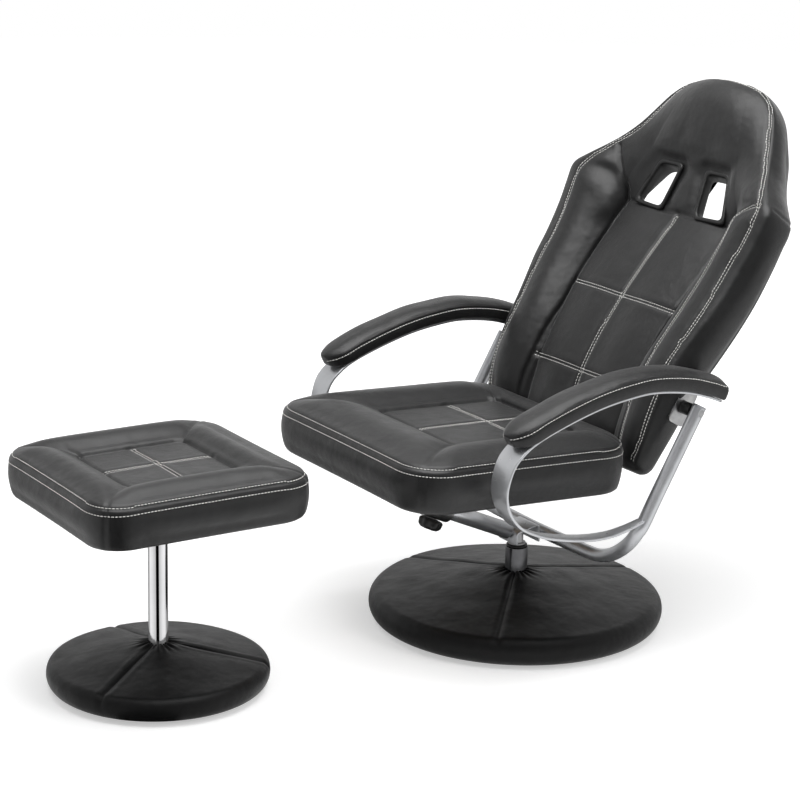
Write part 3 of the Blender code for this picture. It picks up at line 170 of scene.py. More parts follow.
TO_CAMERA = (math.sin(AZIMUTH), -math.cos(AZIMUTH), 0.0)


def facing_camera(tree, direction):
    """(direction . TO_CAMERA + 1) / 2: 1 towards the camera's side of the room, 0 away from it."""
    along = vectors(tree, "DOT_PRODUCT", direction, TO_CAMERA)
    return combined(tree, "MULTIPLY", combined(tree, "ADD", along, 1.0), 0.5)


print("node helpers ready")

# %% [markdown]
# ## Studio light and floor
# A catalogue picture has a white surround, soft light from above and from the near side, and a
# faint shadow where the bases touch the floor. The world shows plain white to the camera and a
# quieter grey to soft light, so the object isn't flooded with it. Reflections see a third thing:
# walls that get darker towards the camera's side, with a narrow dark strip right behind it, under
# a dimmer ceiling. That strip gives polished tubes their dark stripe.

# %% world
WORLD_LEVEL = 0.30
# Grey levels that reflections see: of the walls, by how far they face away from the camera (0) or
# lie behind it (1), and of the ceiling, by the upward part of the direction.
WALL_STOPS = ((0.05, 0.74), (0.29, 0.70), (0.675, 0.60), (0.985, 0.26), (0.991, 0.03))
CEILING_STOPS = ((0.50, 1.0), (0.85, 0.60))


def white_or_lit(tree):
    """The Light Path node, and 1 for what the camera, a reflection or a clear material sees
    directly, 0 for soft light."""
    path = tree.nodes.new("ShaderNodeLightPath")
    seen = combined(tree, "MAXIMUM", path.outputs["Is Camera Ray"], path.outputs["Is Glossy Ray"])
    return path, combined(tree, "MAXIMUM", seen, path.outputs["Is Transmission Ray"])


def make_world():
    """White for direct rays, grey for soft light, and walls times ceiling in reflections."""
    world = bpy.data.worlds.new("studio")
    bpy.context.scene.world = world
    world.use_nodes = True
    tree = world.node_tree
    tree.nodes.clear()
    path, direct = white_or_lit(tree)
    where = tree.nodes.new("ShaderNodeTexCoord").outputs["Generated"]
    walls = ramp(tree, facing_camera(tree, where), *WALL_STOPS)
    parts = tree.nodes.new("ShaderNodeSeparateXYZ")
    tree.links.new(where, parts.inputs[0])
    ceiling = ramp(tree, parts.outputs["Z"], *CEILING_STOPS)
    room = combined(tree, "MULTIPLY", walls, ceiling)
    surround = mixed(tree, direct, (WORLD_LEVEL,) * 3, (1.0, 1.0, 1.0))
    colour = mixed(tree, path.outputs["Is Glossy Ray"], surround, room)
    background = tree.nodes.new("ShaderNodeBackground")
    tree.links.new(colour, background.inputs["Color"])
    output = tree.nodes.new("ShaderNodeOutputWorld")
    tree.links.new(background.outputs["Background"], output.inputs["Surface"])
    return world


make_world()
print("world level", WORLD_LEVEL)

# %% lamps


def soft_lamp(name, place, target, size, power, glossy):
    """A square area lamp at a place, turned so that its face looks at the target. Only a glossy
    one is seen in reflections."""
    data = bpy.data.lights.new(name, "AREA")
    data.shape = "SQUARE"
    data.size = size
    data.energy = power
    lamp = bpy.data.objects.new(name, data)
    away = Vector(place) - Vector(target)
    turn = away.to_track_quat("Z", "Y").to_matrix().to_4x4()
    lamp.matrix_world = Matrix.Translation(place) @ turn
    lamp.visible_glossy = glossy
    bpy.context.scene.collection.objects.link(lamp)
    return lamp


MIDDLE = (0.0, -0.2, 0.45)
# Name, place and side in metres, power in watts, and whether reflections show it.
LAMPS = (("overhead_lamp", (0.2, -0.4, 3.0), 2.6, 92.0, True),
         ("near_side_lamp", (2.6, 0.9, 1.8), 1.6, 30.0, False),
         ("front_lamp", (-1.4, -3.0, 1.7), 1.6, 6.0, False))
for name, place, size, power, glossy in LAMPS:
    soft_lamp(name, place, MIDDLE, size, power, glossy)
print("lamps:", len(LAMPS))

# %% [markdown]
# The floor is a wide disc. Its colour is pale, and the camera sees some light of its own added,
# less near the object and more away from it, so that it meets the white surround with no edge
# while the shadow stays on it. Reflections see a floor whose own light and colour depend on the
# direction from the footstool's pole: there is a dark wedge towards the camera.

# %% floor
FLOOR_RADIUS = 9.0
FLOOR_MIDDLE = (0.0, -0.35, 0.0)
FLOOR_REACH = 4.0
POLE_PLACE = (-0.034, -0.742, 0.0)
FLOOR_GREY = (0.80, 0.80, 0.80)
# The glow by the distance from the middle as a share of the reach, and what reflections see by
# how far a place lies from the pole towards the camera: its glow and its colour.
GLOW_STOPS = ((0.26, 0.45), (0.62, 1.0))
MIRRORED_STOPS = ((0.25, 0.20), (0.50, 0.62), (0.80, 0.55), (0.972, 0.34), (0.983, 0.0))
MATT_STOPS = ((0.25, 0.16), (0.50, 0.35), (0.972, 0.25), (0.983, 0.0))


def make_floor():
    """A disc whose own light reaches only the camera, reflections and clear materials."""
    corners = 96
    angles = np.linspace(0, 2 * np.pi, corners, endpoint=False)
    rim = np.stack([np.cos(angles), np.sin(angles), 0 * angles], 1) * FLOOR_RADIUS
    mesh = bpy.data.meshes.new("studio_floor")
    mesh.from_pydata(rim.tolist(), [], [list(range(corners))])
    floor = bpy.data.objects.new("studio_floor", mesh)
    bpy.context.scene.collection.objects.link(floor)
    material = bpy.data.materials.new("pale_floor")
    material.use_nodes = True
    tree = material.node_tree
    shader = tree.nodes["Principled BSDF"]
    shader.inputs["Roughness"].default_value = 0.9
    shader.inputs["Specular IOR Level"].default_value = 0.0
    shader.inputs["Emission Color"].default_value = (1.0, 1.0, 1.0, 1.0)
    place = tree.nodes.new("ShaderNodeTexCoord").outputs["Object"]
    far = combined(tree, "DIVIDE", vectors(tree, "DISTANCE", place, FLOOR_MIDDLE), FLOOR_REACH)
    seen = ramp(tree, far, *GLOW_STOPS)
    from_pole = vectors(tree, "NORMALIZE", vectors(tree, "SUBTRACT", place, POLE_PLACE))
    facing = facing_camera(tree, from_pole)
    mirrored, matt = ramp(tree, facing, *MIRRORED_STOPS), ramp(tree, facing, *MATT_STOPS)
    path, direct = white_or_lit(tree)
    glossy = path.outputs["Is Glossy Ray"]
    glow = combined(tree, "MULTIPLY", mixed(tree, glossy, seen, mirrored), direct)
    tree.links.new(glow, shader.inputs["Emission Strength"])
    tree.links.new(mixed(tree, glossy, FLOOR_GREY, matt), shader.inputs["Base Color"])
    mesh.materials.append(material)


make_floor()
print("floor radius", FLOOR_RADIUS)

# %% [markdown]
# ## Finishes
# Each finish is a tree of procedural nodes on Object coordinates, which are metres here, so a
# pattern's scale is its real size: Noise at scale 1000 has features of about a millimetre.

# %% a finish's common parts


def start_finish(name, roughness=0.5, metallic=0.0, **sockets):
    """A new material with its tree, its shader, and Object coordinates for its patterns."""
    material = bpy.data.materials.new(name)
    material.use_nodes = True
    tree = material.node_tree
    shader = tree.nodes["Principled BSDF"]
    shader.inputs["Roughness"].default_value = roughness
    shader.inputs["Metallic"].default_value = metallic
    for socket, value in sockets.items():
        shader.inputs[socket.replace("_", " ")].default_value = value
    place = tree.nodes.new("ShaderNodeTexCoord").outputs["Object"]
    return material, tree, shader, place


def noise(tree, place, scale, detail=3.0, roughness=0.55):
    """Cloudy noise over the object, its features about one over the scale in size."""
    made = node(tree, "ShaderNodeTexNoise", Scale=scale, Detail=detail, Roughness=roughness)
    tree.links.new(place, made.inputs["Vector"])
    return made.outputs["Fac"]


def bump(tree, shader, *layers):
    """Stack bumps, each a height socket and how many metres it stands up, into the normal."""
    normal = None
    for height, distance in layers:
        made = tree.nodes.new("ShaderNodeBump")
        made.inputs["Distance"].default_value = distance
        tree.links.new(height, made.inputs["Height"])
        if normal:
            tree.links.new(normal, made.inputs["Normal"])
        normal = made.outputs["Normal"]
    tree.links.new(normal, shader.inputs["Normal"])


print("finish helpers ready")

# %% [markdown]
# Leatherette is a coated fabric with an embossed grain: small cells with furrows between them.
# Voronoi cells, measured by their distance to the next cell's edge, give that pattern directly.
# A slower noise varies how shiny and how dark the coat is, as handling does, and a broad, low
# one gives the slight unevenness of a skin over foam. The bases get a copy with less sheen and
# a weaker mirror-like part: painted shade, standing in for the shadow the cushions cast on them.

# %% black leatherette


def make_leatherette(name, sheen, level):
    """Near-black coat: embossed cells of 1.3 mm, slow colour and gloss changes, and a soft sheen
    of the given weight over a mirror-like part of the given level."""
    material, tree, shader, place = start_finish(
        name, Sheen_Weight=sheen, Sheen_Roughness=0.38, Specular_IOR_Level=level)
    cells = node(tree, "ShaderNodeTexVoronoi", Scale=760.0)
    cells.feature = "DISTANCE_TO_EDGE"
    tree.links.new(place, cells.inputs["Vector"])
    grain = ramp(tree, cells.outputs["Distance"], (0.0, 0.0), (0.22, 1.0))
    patches = noise(tree, place, 14.0, 4.0)
    colour = ramp(tree, patches, (0.30, (0.0065, 0.0065, 0.0068)),
                  (0.70, (0.0115, 0.0115, 0.0119)))
    furrowed = mixed(tree, grain, (0.004, 0.004, 0.004), colour)
    tree.links.new(furrowed, shader.inputs["Base Color"])
    gloss = ramp(tree, noise(tree, place, 30.0, 5.0), (0.25, 0.29), (0.75, 0.41))
    tree.links.new(gloss, shader.inputs["Roughness"])
    bump(tree, shader, (noise(tree, place, 22.0, 2.0), 0.0022), (grain, 0.00007))
    return material


leatherette = make_leatherette("black_leatherette", 0.24, 0.50)
# The bases' copy has less sheen and a weaker mirror-like part: painted shade for the cushions'
# shadow.
shaded_cover_leatherette = make_leatherette("shaded_cover_leatherette", 0.05, 0.19)
print("made", leatherette.name, "and", shaded_cover_leatherette.name)

# %% [markdown]
# The sewing thread is thick, off-white and matt, with the fine twist of its plies.

# %% thread


def make_thread():
    """Off-white twisted yarn: waves of half a millimetre along it, and slight colour changes."""
    material, tree, shader, place = start_finish("off_white_thread", roughness=0.75)
    plies = node(tree, "ShaderNodeTexWave", Scale=900.0, Distortion=1.0)
    tree.links.new(place, plies.inputs["Vector"])
    colour = ramp(tree, noise(tree, place, 120.0), (0.3, (0.78, 0.77, 0.74)),
                  (0.7, (0.92, 0.91, 0.88)))
    tree.links.new(colour, shader.inputs["Base Color"])
    bump(tree, shader, (plies.outputs["Fac"], 0.0001))
    return material


thread = make_thread()
print("made", thread.name)

# %% [markdown]
# Metals: the frame has a silver powder coat, which is a paint with fine flakes and a slight
# orange peel. Brackets and bolts are zinc-plated steel, brushed and a little cloudy. The chair's
# column is dark chrome and the footstool's pole bright chrome, both nearly mirrors with faint
# smears.

# %% metals


def make_metal(name, dark, bright, smooth, rough, patch, peel, metallic=1.0, **sockets):
    """A metal: colour and roughness vary with two noises, and a fine bump breaks its gloss. The
    patch is the scale of the first noise, and the peel the scale and height of the bump."""
    material, tree, shader, place = start_finish(name, metallic=metallic, **sockets)
    colour = ramp(tree, noise(tree, place, patch), (0.3, dark), (0.7, bright))
    tree.links.new(colour, shader.inputs["Base Color"])
    gloss = ramp(tree, noise(tree, place, patch * 3.0, 5.0), (0.3, smooth), (0.7, rough))
    tree.links.new(gloss, shader.inputs["Roughness"])
    bump(tree, shader, (noise(tree, place, peel[0], 2.0), peel[1]))
    return material


silver_paint = make_metal("silver_paint", (0.56, 0.57, 0.59), (0.66, 0.67, 0.69), 0.27, 0.36,
                          18.0, (420.0, 0.00006), metallic=0.78, Coat_Weight=0.25,
                          Coat_Roughness=0.25)
zinc_steel = make_metal("zinc_steel", (0.40, 0.40, 0.41), (0.56, 0.56, 0.55), 0.28, 0.46, 40.0,
                        (900.0, 0.00005))
dark_chrome = make_metal("dark_chrome", (0.10, 0.10, 0.105), (0.15, 0.15, 0.155), 0.10, 0.18,
                         25.0, (260.0, 0.00001))
chrome = make_metal("chrome", (0.80, 0.80, 0.81), (0.88, 0.88, 0.89), 0.045, 0.085, 20.0,
                    (200.0, 0.000006))
print("made 4 metals")

# %% [markdown]
# The plastic parts are moulded with a fine spark-eroded texture, and the boards are plain
# plywood, whose veneers show as bands on the cut edge and as soft figure on the face.

# %% plastic and plywood


def make_plastic():
    """Satin black: a fine sand texture, and gloss that changes slowly."""
    material, tree, shader, place = start_finish("black_plastic", Specular_IOR_Level=0.45)
    colour = ramp(tree, noise(tree, place, 30.0), (0.3, (0.009, 0.009, 0.009)),
                  (0.7, (0.014, 0.014, 0.014)))
    tree.links.new(colour, shader.inputs["Base Color"])
    gloss = ramp(tree, noise(tree, place, 60.0, 4.0), (0.3, 0.34), (0.7, 0.46))
    tree.links.new(gloss, shader.inputs["Roughness"])
    bump(tree, shader, (noise(tree, place, 1600.0, 2.0), 0.00006))
    return material


def make_plywood():
    """Veneers of 1.5 mm across Z with darker glue lines, and stretched noise for the figure."""
    material, tree, shader, place = start_finish("plywood", roughness=0.62)
    layers = node(tree, "ShaderNodeTexWave", Scale=105.0, Distortion=0.6)
    layers.bands_direction = "Z"
    tree.links.new(place, layers.inputs["Vector"])
    stretch = node(tree, "ShaderNodeMapping", Scale=(8.0, 90.0, 90.0))
    tree.links.new(place, stretch.inputs["Vector"])
    figure = ramp(tree, noise(tree, stretch.outputs["Vector"], 1.0, 6.0),
                  (0.3, (0.36, 0.24, 0.14)), (0.7, (0.52, 0.38, 0.25)))
    edges = ramp(tree, layers.outputs["Fac"], (0.05, 0.35), (0.25, 1.0))
    tree.links.new(mixed(tree, edges, (0.26, 0.17, 0.10), figure), shader.inputs["Base Color"])
    bump(tree, shader, (layers.outputs["Fac"], 0.0001))
    return material


black_plastic = make_plastic()
plywood = make_plywood()
FINISHES = {"black_leatherette": leatherette, "plywood": plywood, "black_plastic": black_plastic,
            "silver_paint": silver_paint, "zinc_steel": zinc_steel, "dark_chrome": dark_chrome,
            "chrome": chrome}
SLOT_OF = {part["node"]: part["material_slot"] for part in frame["record"]["subparts"]}
for name, cad in nodes.items():
    cad.data.materials.clear()
    cad.data.materials.append(FINISHES[SLOT_OF[name]])
print("finishes:", len(FINISHES), "given to", len(nodes), "nodes")

# %% [markdown]
# ## Surfaces from formulas
# Nearly every piece below is a grid of points: a profile carried along a path, or a function of
# two parameters. The helpers here take whole arrays of points, join them with four-sided faces,
# and make an object whose place is in its mesh.

# %% mesh helpers


def new_piece(name, points, faces, material):
    """An object at the origin from arrays of points and faces, with smooth shading."""
    mesh = bpy.data.meshes.new(name)
    mesh.from_pydata(np.asarray(points).tolist(), [], [list(map(int, face)) for face in faces])
    mesh.validate()
    piece = bpy.data.objects.new(name, mesh)
    bpy.context.scene.collection.objects.link(piece)
    mesh.materials.append(material)
    mesh.polygons.foreach_set("use_smooth", [True] * len(mesh.polygons))
    mesh.update()
    return piece


def loop_faces(rows, columns):
    """Faces between neighbouring rows of a grid whose rows are closed loops of points."""
    index = np.arange(rows * columns).reshape(rows, columns)
    after = np.roll(index, -1, axis=1)
    return np.stack([index[:-1], after[:-1], after[1:], index[1:]], 2).reshape(-1, 4).tolist()


def closed_loft(rings):
    """Points and faces of a tube through rings (rows, columns, 3), its two ends filled in."""
    rows, columns = rings.shape[:2]
    faces = loop_faces(rows, columns)
    faces.append(list(range(columns))[::-1])
    faces.append(list(range((rows - 1) * columns, rows * columns)))
    return rings.reshape(-1, 3), faces


def ring_loft(rings):
    """Points and faces of a skin through rings, its last ring joined to its first."""
    rows, columns = rings.shape[:2]
    first = np.arange(columns)
    last = (rows - 1) * columns + first
    closing = np.stack([last, np.roll(last, -1), np.roll(first, -1), first], 1)
    return rings.reshape(-1, 3), loop_faces(rows, columns) + closing.tolist()


def outward(piece):
    """Turn all faces of a closed piece outwards: its signed volume has to be positive."""
    mesh = piece.data
    mesh.calc_loop_triangles()
    corners = np.empty(len(mesh.loop_triangles) * 3, np.int32)
    mesh.loop_triangles.foreach_get("vertices", corners)
    a, b, c = points_of(piece)[corners].reshape(-1, 3, 3).transpose(1, 0, 2)
    if np.einsum("ij,ij->i", a, np.cross(b, c)).sum() < 0:
        mesh.flip_normals()
    return piece


def points_of(piece):
    """The piece's points as an array."""
    flat = np.empty(len(piece.data.vertices) * 3)
    piece.data.vertices.foreach_get("co", flat)
    return flat.reshape(-1, 3)


def normals_of(piece):
    """The normals at the piece's points as an array."""
    flat = np.empty(len(piece.data.vertices) * 3)
    piece.data.vertex_normals.foreach_get("vector", flat)
    return flat.reshape(-1, 3)


def set_points(piece, points):
    """Write an array of points back into the piece."""
    piece.data.vertices.foreach_set("co", np.asarray(points, float).ravel())
    piece.data.update()


def smooth_through(points, per_span):
    """A curve through all the points: between two of them it follows the cubic whose slope at
    each is half the way from the point before to the point after (Catmull-Rom)."""
    points = np.asarray(points, float)
    before = np.vstack([2 * points[0] - points[1], points, 2 * points[-1] - points[-2]])
    t = (np.arange(per_span) / per_span)[None, :, None]
    a, b, c, d = (before[i:len(before) - 3 + i, None] for i in range(4))
    curve = 0.5 * (2 * b + (c - a) * t + (2 * a - 5 * b + 4 * c - d) * t ** 2
                   + (3 * b - a - 3 * c + d) * t ** 3)
    return np.vstack([curve.reshape(-1, points.shape[1]), points[-1:]])


def travelled(points):
    """How far along a line each of its points lies."""
    return np.concatenate([[0.0], np.cumsum(np.linalg.norm(np.diff(points, axis=0), axis=1))])


def evenly(points, step):
    """The same line with its points about one step apart."""
    points = np.asarray(points, float)
    length = travelled(points)
    marks = np.linspace(0, length[-1], max(2, int(round(length[-1] / step)) + 1))
    return np.stack([np.interp(marks, length, points[:, i]) for i in range(points.shape[1])], 1)


def unit(vectors):
    """The vectors, each one metre long."""
    return vectors / np.maximum(np.linalg.norm(vectors, axis=-1, keepdims=True), 1e-12)


def directions(points):
    """The direction of a line at each of its points."""
    return unit(np.gradient(points, axis=0))


def turned(name, profile, material, steps=64, centre=(0.0, 0.0)):
    """A turned piece: the profile of radius and height goes once round an upright axis. A closed
    profile that repeats its first point makes a hollow ring, and any other is filled in."""
    profile = np.asarray(profile, float)
    hollow = np.allclose(profile[0], profile[-1])
    if hollow:
        profile = profile[:-1]
    angles = np.linspace(0, 2 * np.pi, steps, endpoint=False)
    rings = np.stack([centre[0] + profile[:, :1] * np.cos(angles),
                      centre[1] + profile[:, :1] * np.sin(angles),
                      np.repeat(profile[:, 1:], steps, 1)], 2)
    points, faces = ring_loft(rings) if hollow else closed_loft(rings)
    return outward(new_piece(name, points, faces, material))


def rounded(profile, radius, steps=5):
    """The profile with each inner corner replaced by a small curve of about that radius."""
    profile = np.asarray(profile, float)
    made = [profile[0]]
    for before, corner, after in zip(profile, profile[1:], profile[2:]):
        into, out = unit(before - corner), unit(after - corner)
        reach = min(radius, 0.45 * np.linalg.norm(before - corner),
                    0.45 * np.linalg.norm(after - corner))
        t = np.linspace(0, 1, steps)[:, None]
        start, end = corner + into * reach, corner + out * reach
        made += list((1 - t) ** 2 * start + 2 * t * (1 - t) * corner + t ** 2 * end)
    return np.array(made + [profile[-1]])


def carry(name, path, normals, section, material):
    """A section carried along a path: for each of its points, across times the side direction
    plus out times the normal. The section may be one (n, 2) outline or one for each point."""
    along = directions(path)
    side = unit(np.cross(along, normals))
    out = unit(np.cross(side, along))
    section = np.asarray(section, float)
    if section.ndim == 2:
        section = np.repeat(section[None], len(path), 0)
    rings = (path[:, None] + section[..., :1] * side[:, None] + section[..., 1:] * out[:, None])
    points, faces = closed_loft(rings)
    return outward(new_piece(name, points, faces, material))


def circle(radius, steps):
    """A circle as an outline of two columns."""
    angles = np.linspace(0, 2 * np.pi, steps, endpoint=False)
    return np.stack([np.cos(angles), np.sin(angles)], 1) * radius


def set_in(piece, body, replaced=()):
    """Let the piece ride on its body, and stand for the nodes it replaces."""
    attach(piece, body)
    if replaced:
        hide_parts(*replaced)
    return piece


print("mesh helpers ready")

# %% [markdown]
# Straight-edged metal and plastic parts only need their edges broken: no real edge is sharp, and
# the narrow round is what catches the light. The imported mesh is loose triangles, so a copy is
# merged, its flat faces are dissolved into whole ones, and a Bevel modifier rounds the edges.

# %% dressing hard parts


BEVEL_ANGLE = math.radians(35.0)
FLAT_ANGLE = math.radians(1.5)


def dress(name, width):
    """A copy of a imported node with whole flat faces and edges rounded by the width."""
    source = nodes[name]
    build = bmesh.new()
    build.from_mesh(source.data)
    bmesh.ops.remove_doubles(build, verts=build.verts, dist=1e-5)
    bmesh.ops.dissolve_limit(build, angle_limit=FLAT_ANGLE, verts=build.verts, edges=build.edges)
    mesh = bpy.data.meshes.new(name + "_dressed")
    build.to_mesh(mesh)
    build.free()
    slot = SLOT_OF[name]
    mesh.materials.clear()
    mesh.materials.append(FINISHES[slot])
    piece = bpy.data.objects.new(name + "_dressed", mesh)
    bpy.context.scene.collection.objects.link(piece)
    mesh.polygons.foreach_set("use_smooth", [True] * len(mesh.polygons))
    bevel = piece.modifiers.new("broken_edges", "BEVEL")
    bevel.width = width
    bevel.segments = 3
    bevel.limit_method = "ANGLE"
    bevel.angle_limit = BEVEL_ANGLE
    bevel.harden_normals = True
    bevel.use_clamp_overlap = True
    body = next(b for b, members in frame["record"]["behaviour"]["bodies"].items()
                if name in members)
    return set_in(piece, body, (name,))


DRESSED = {
    "swivel_bracket": 0.0010, "rail_clamp": 0.0010, "seat_link_left": 0.0008,
    "seat_link_right": 0.0008, "pivot_bracket_left": 0.0010, "pivot_bracket_right": 0.0010,
    "back_tab_left": 0.0008, "back_tab_right": 0.0008, "stool_plate": 0.0010,
    "pivot_bolt_left": 0.0007, "pivot_bolt_right": 0.0007,
    "pivot_spacer_left": 0.0008, "pivot_spacer_right": 0.0008,
    "column_bush": 0.0005, "base_board": 0.0015, "stool_board": 0.0015,
    "seat_board": 0.0015, "stool_seat_board": 0.0015,
}
DRESSED.update({f"base_glide_{i}": 0.0012 for i in range(1, 6)})
DRESSED.update({f"stool_glide_{i}": 0.0012 for i in range(1, 5)})
for name, width in DRESSED.items():
    dress(name, width)
print("dressed", len(DRESSED), "hard parts")

# %% [markdown]
# ## The two bases
# Each base is a wooden disc under a leatherette cover: a low cone with a rolled rim, sewn from
# three pieces. The cover is one turned profile, and the three radial seams are furrows pressed
# into it, with the skin swelling a little on both sides of each, as a sewn skin does.

# %% radial covers
AROUND = 420
# A radial seam: its sharp and its broad dip as depth and width, and the swell on both sides of it.
SEAM_DIPS = ((0.0021, 0.0026), (0.0016, 0.016))
SWELL_HEIGHT, SWELL_APART, SWELL_WIDTH = 0.0010, 0.011, 0.006
PLEAT_DEPTH, PLEAT_REACH, PLEATS = 0.0012, 0.022, 17
UNEVENNESS = 0.0007
COVER_WALL = 0.006


def pinch(distance, width):
    """How much of a seam's furrow is felt at a distance: 1 on it, then a bell curve to 0."""
    return np.exp(-(distance / width) ** 2)


def make_cover(name, profile, seams, centre, body, replaced):
    """The cover: radius and height from the profile, lowered along each radial seam by a bell
    curve of the distance to it, and drawn into small pleats round the hole."""
    profile = evenly(profile, 0.0028)
    angles = np.linspace(0, 2 * np.pi, AROUND, endpoint=False)
    slope = directions(profile)
    normal = np.stack([slope[:, 1], -slope[:, 0]], 1)
    if np.mean(normal[:, 1] * (profile[:, 1] > profile[:, 1].mean())) < 0:
        normal = -normal
    radius = profile[:, :1] + 0 * angles
    height = profile[:, 1:] + 0 * angles
    sink = np.zeros_like(radius)
    for seam in np.radians(seams):
        apart = np.abs((angles - seam + np.pi) % (2 * np.pi) - np.pi) * radius
        sink += sum(depth * pinch(apart, width) for depth, width in SEAM_DIPS)
        sink -= SWELL_HEIGHT * pinch(apart - SWELL_APART, SWELL_WIDTH)
    pleats = (PLEAT_DEPTH * pinch(radius - profile[0, 0], PLEAT_REACH)
              * np.cos(angles * PLEATS + 1.3 * np.sin(angles * 3)))
    soft = UNEVENNESS * np.sin(angles * 5 + 1.0) * np.sin(radius * 55)
    sink += (pleats + soft) * (normal[:, 1:] > 0)
    sink *= np.clip(normal[:, 1:] + 0.35, 0, 1)
    radius = radius - sink * normal[:, :1]
    height = height - sink * normal[:, 1:]
    rings = np.stack([centre[0] + radius * np.cos(angles), centre[1] + radius * np.sin(angles),
                      height], 2)
    # The cover wears the leatherette copy with less sheen and mirror: painted shade for the
    # cushions' shadow.
    piece = outward(new_piece(name, *ring_loft(rings), shaded_cover_leatherette))
    set_in(piece, body, (replaced,))
    return piece


def cover_profile(radius, corner, waist, cone_low, cone_top, hole, board, low):
    """From the hole down the cone to the rolled rim, whose upper and lower quarter are two
    ellipses that meet at the waist, and back inside the cover's wall."""
    wall = COVER_WALL
    turn = np.linspace(math.pi / 2 - 0.12, -math.pi / 2, 28)
    rise = np.where(turn > 0, cone_low - waist, waist - low)
    rim = np.stack([radius - corner + corner * np.cos(turn), waist + rise * np.sin(turn)], 1)
    neck = [np.array(p) for p in ((hole, cone_top - 0.002), (hole + 0.0025, cone_top))]
    cone = [neck[-1] + (rim[0] - neck[-1]) * share for share in (0.06, 0.3, 0.6, 0.9, 1.0)]
    outer = smooth_through(neck + cone, 6)
    inner = [(board, low), (board, low + wall), (radius - wall - corner * 0.5, low + wall),
             (radius - wall, waist), (radius - wall - corner * 0.4, cone_low - wall * 1.6),
             (hole, cone_top - wall)]
    return np.vstack([outer, rim[1:], inner, outer[:1]])


# For each cover: the sizes of its profile in metres, its seams' angles in degrees, and its centre.
COVERS = {
    "base": (dict(radius=0.280, corner=0.021, waist=0.034, cone_low=0.060, cone_top=0.101,
                  hole=0.0218, board=0.243, low=0.0063), (-42.0, 90.0, 197.0), (0.0, 0.0)),
    "stool": (dict(radius=0.197, corner=0.018, waist=0.029, cone_low=0.050, cone_top=0.082,
                   hole=0.0178, board=0.1655, low=0.0063), (-57.0, 57.0, 179.0),
              POLE_PLACE[:2])}
for body, (sizes, seams, centre) in COVERS.items():
    piece = make_cover(f"{body}_cover_skin", cover_profile(**sizes), seams, centre, body,
                       f"{body}_cover")
    print(piece.name, len(piece.data.polygons), "faces")

# %% [markdown]
# ## Column and pole
# Both are turned tubes. The chair's column is dark chrome with an open mouth whose rim is
# polished, and the footstool's pole is bright chrome. A Screw modifier would make them too, but
# an array of rings keeps the same point count all the way up and closes at once.

# %% column and pole
COLUMN_RADIUS = 0.0215
COLUMN_BORE = 0.017
COLUMN_TOP = 0.146
COLUMN_FOOT = 0.006
POLE_RADIUS = 0.0175
POLE_WALL = 0.003
POLE_FOOT = 0.005


def make_column():
    """The column's profile: its hidden foot, the straight tube and the rounded mouth."""
    low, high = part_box("column")
    foot = high[0]
    profile = rounded([(COLUMN_BORE, low[2]), (foot, low[2]), (foot, low[2] + COLUMN_FOOT),
                       (COLUMN_RADIUS, low[2] + 0.0063), (COLUMN_RADIUS, COLUMN_TOP),
                       (COLUMN_BORE, COLUMN_TOP), (COLUMN_BORE, low[2])], 0.0012)
    piece = turned("column_tube", profile, dark_chrome, 96)
    return set_in(piece, "base", ("column",))


def make_pole():
    """The pole's profile: a straight tube between the board and the plate."""
    low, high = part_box("stool_pole")
    radius, foot = POLE_RADIUS, (high[0] - low[0]) / 2
    bore = radius - POLE_WALL
    profile = rounded([(bore, low[2]), (foot, low[2]), (foot, low[2] + POLE_FOOT),
                       (radius, low[2] + 0.0052), (radius, high[2]), (bore, high[2]),
                       (bore, low[2])], 0.0008)
    centre = ((low[0] + high[0]) / 2, (low[1] + high[1]) / 2)
    piece = turned("stool_pole_tube", profile, chrome, 96, centre)
    return set_in(piece, "stool", ("stool_pole",))


for piece in (make_column(), make_pole()):
    print(piece.name, [round(v, 4) for v in np.ptp(points_of(piece), axis=0)])

# %% bolts and spindle
for name in [f"column_bolt_{i}" for i in range(1, 5)] + ["spindle", "link_pin_left",
                                                         "link_pin_right"]:
    dress(name, 0.0005)
print("dressed the bolts, the pins and the spindle")

# %% [markdown]
# ## The frame tube
# One bent tube carries both arms: from the bracket on the swivel it runs out to each side,
# turns up in a tight bend and rises steeply to the pivot of the back. A circle is carried along
# a smooth route through the bends. The holes for the pivot bolts are cut with a Boolean, wider
# on the outside, where each bolt's head sits sunk in the tube.

# %% frame tube
TUBE_RADIUS = 0.0127
# Radius, start and end across of the through hole for a pivot bolt, and of its head's recess.
BOLT_HOLES = ((0.0043, 0.28, 0.34), (0.0070, 0.3142, 0.34))
PIVOT = np.array([0.0, 0.168, 0.463])
TUBE_ROUTE = np.array([
    (0.000, 0.0450, 0.1726), (0.080, 0.0450, 0.1737), (0.150, 0.0450, 0.1752),
    (0.195, 0.0455, 0.1784), (0.230, 0.0460, 0.1898), (0.262, 0.0460, 0.2096),
    (0.288, 0.0465, 0.2331), (0.303, 0.0489, 0.2540), (0.308, 0.0567, 0.2704),
    (0.308, 0.0819, 0.3160), (0.308, 0.1126, 0.3697), (0.308, 0.1794, 0.4866)])
BAND_ROUTE = np.array([
    (0.1989, 0.4866), (0.1651, 0.4996), (0.1139, 0.5137), (0.0439, 0.5215), (-0.0151, 0.5173),
    (-0.0681, 0.5085), (-0.1209, 0.4944), (-0.1739, 0.4767), (-0.2070, 0.4626),
    (-0.2301, 0.4469), (-0.2470, 0.4282), (-0.2569, 0.4021), (-0.2600, 0.3781),
    (-0.2551, 0.3531), (-0.2431, 0.3312), (-0.2249, 0.3119), (-0.1999, 0.2973),
    (-0.1680, 0.2842), (-0.1300, 0.2743), (-0.0920, 0.2670), (-0.0551, 0.2628),
    (-0.0179, 0.2628), (0.0081, 0.2665), (0.0281, 0.2707), (0.0455, 0.2754), (0.0590, 0.2785)])
ARM_X = 0.308
BAND_THICKNESS = 0.005


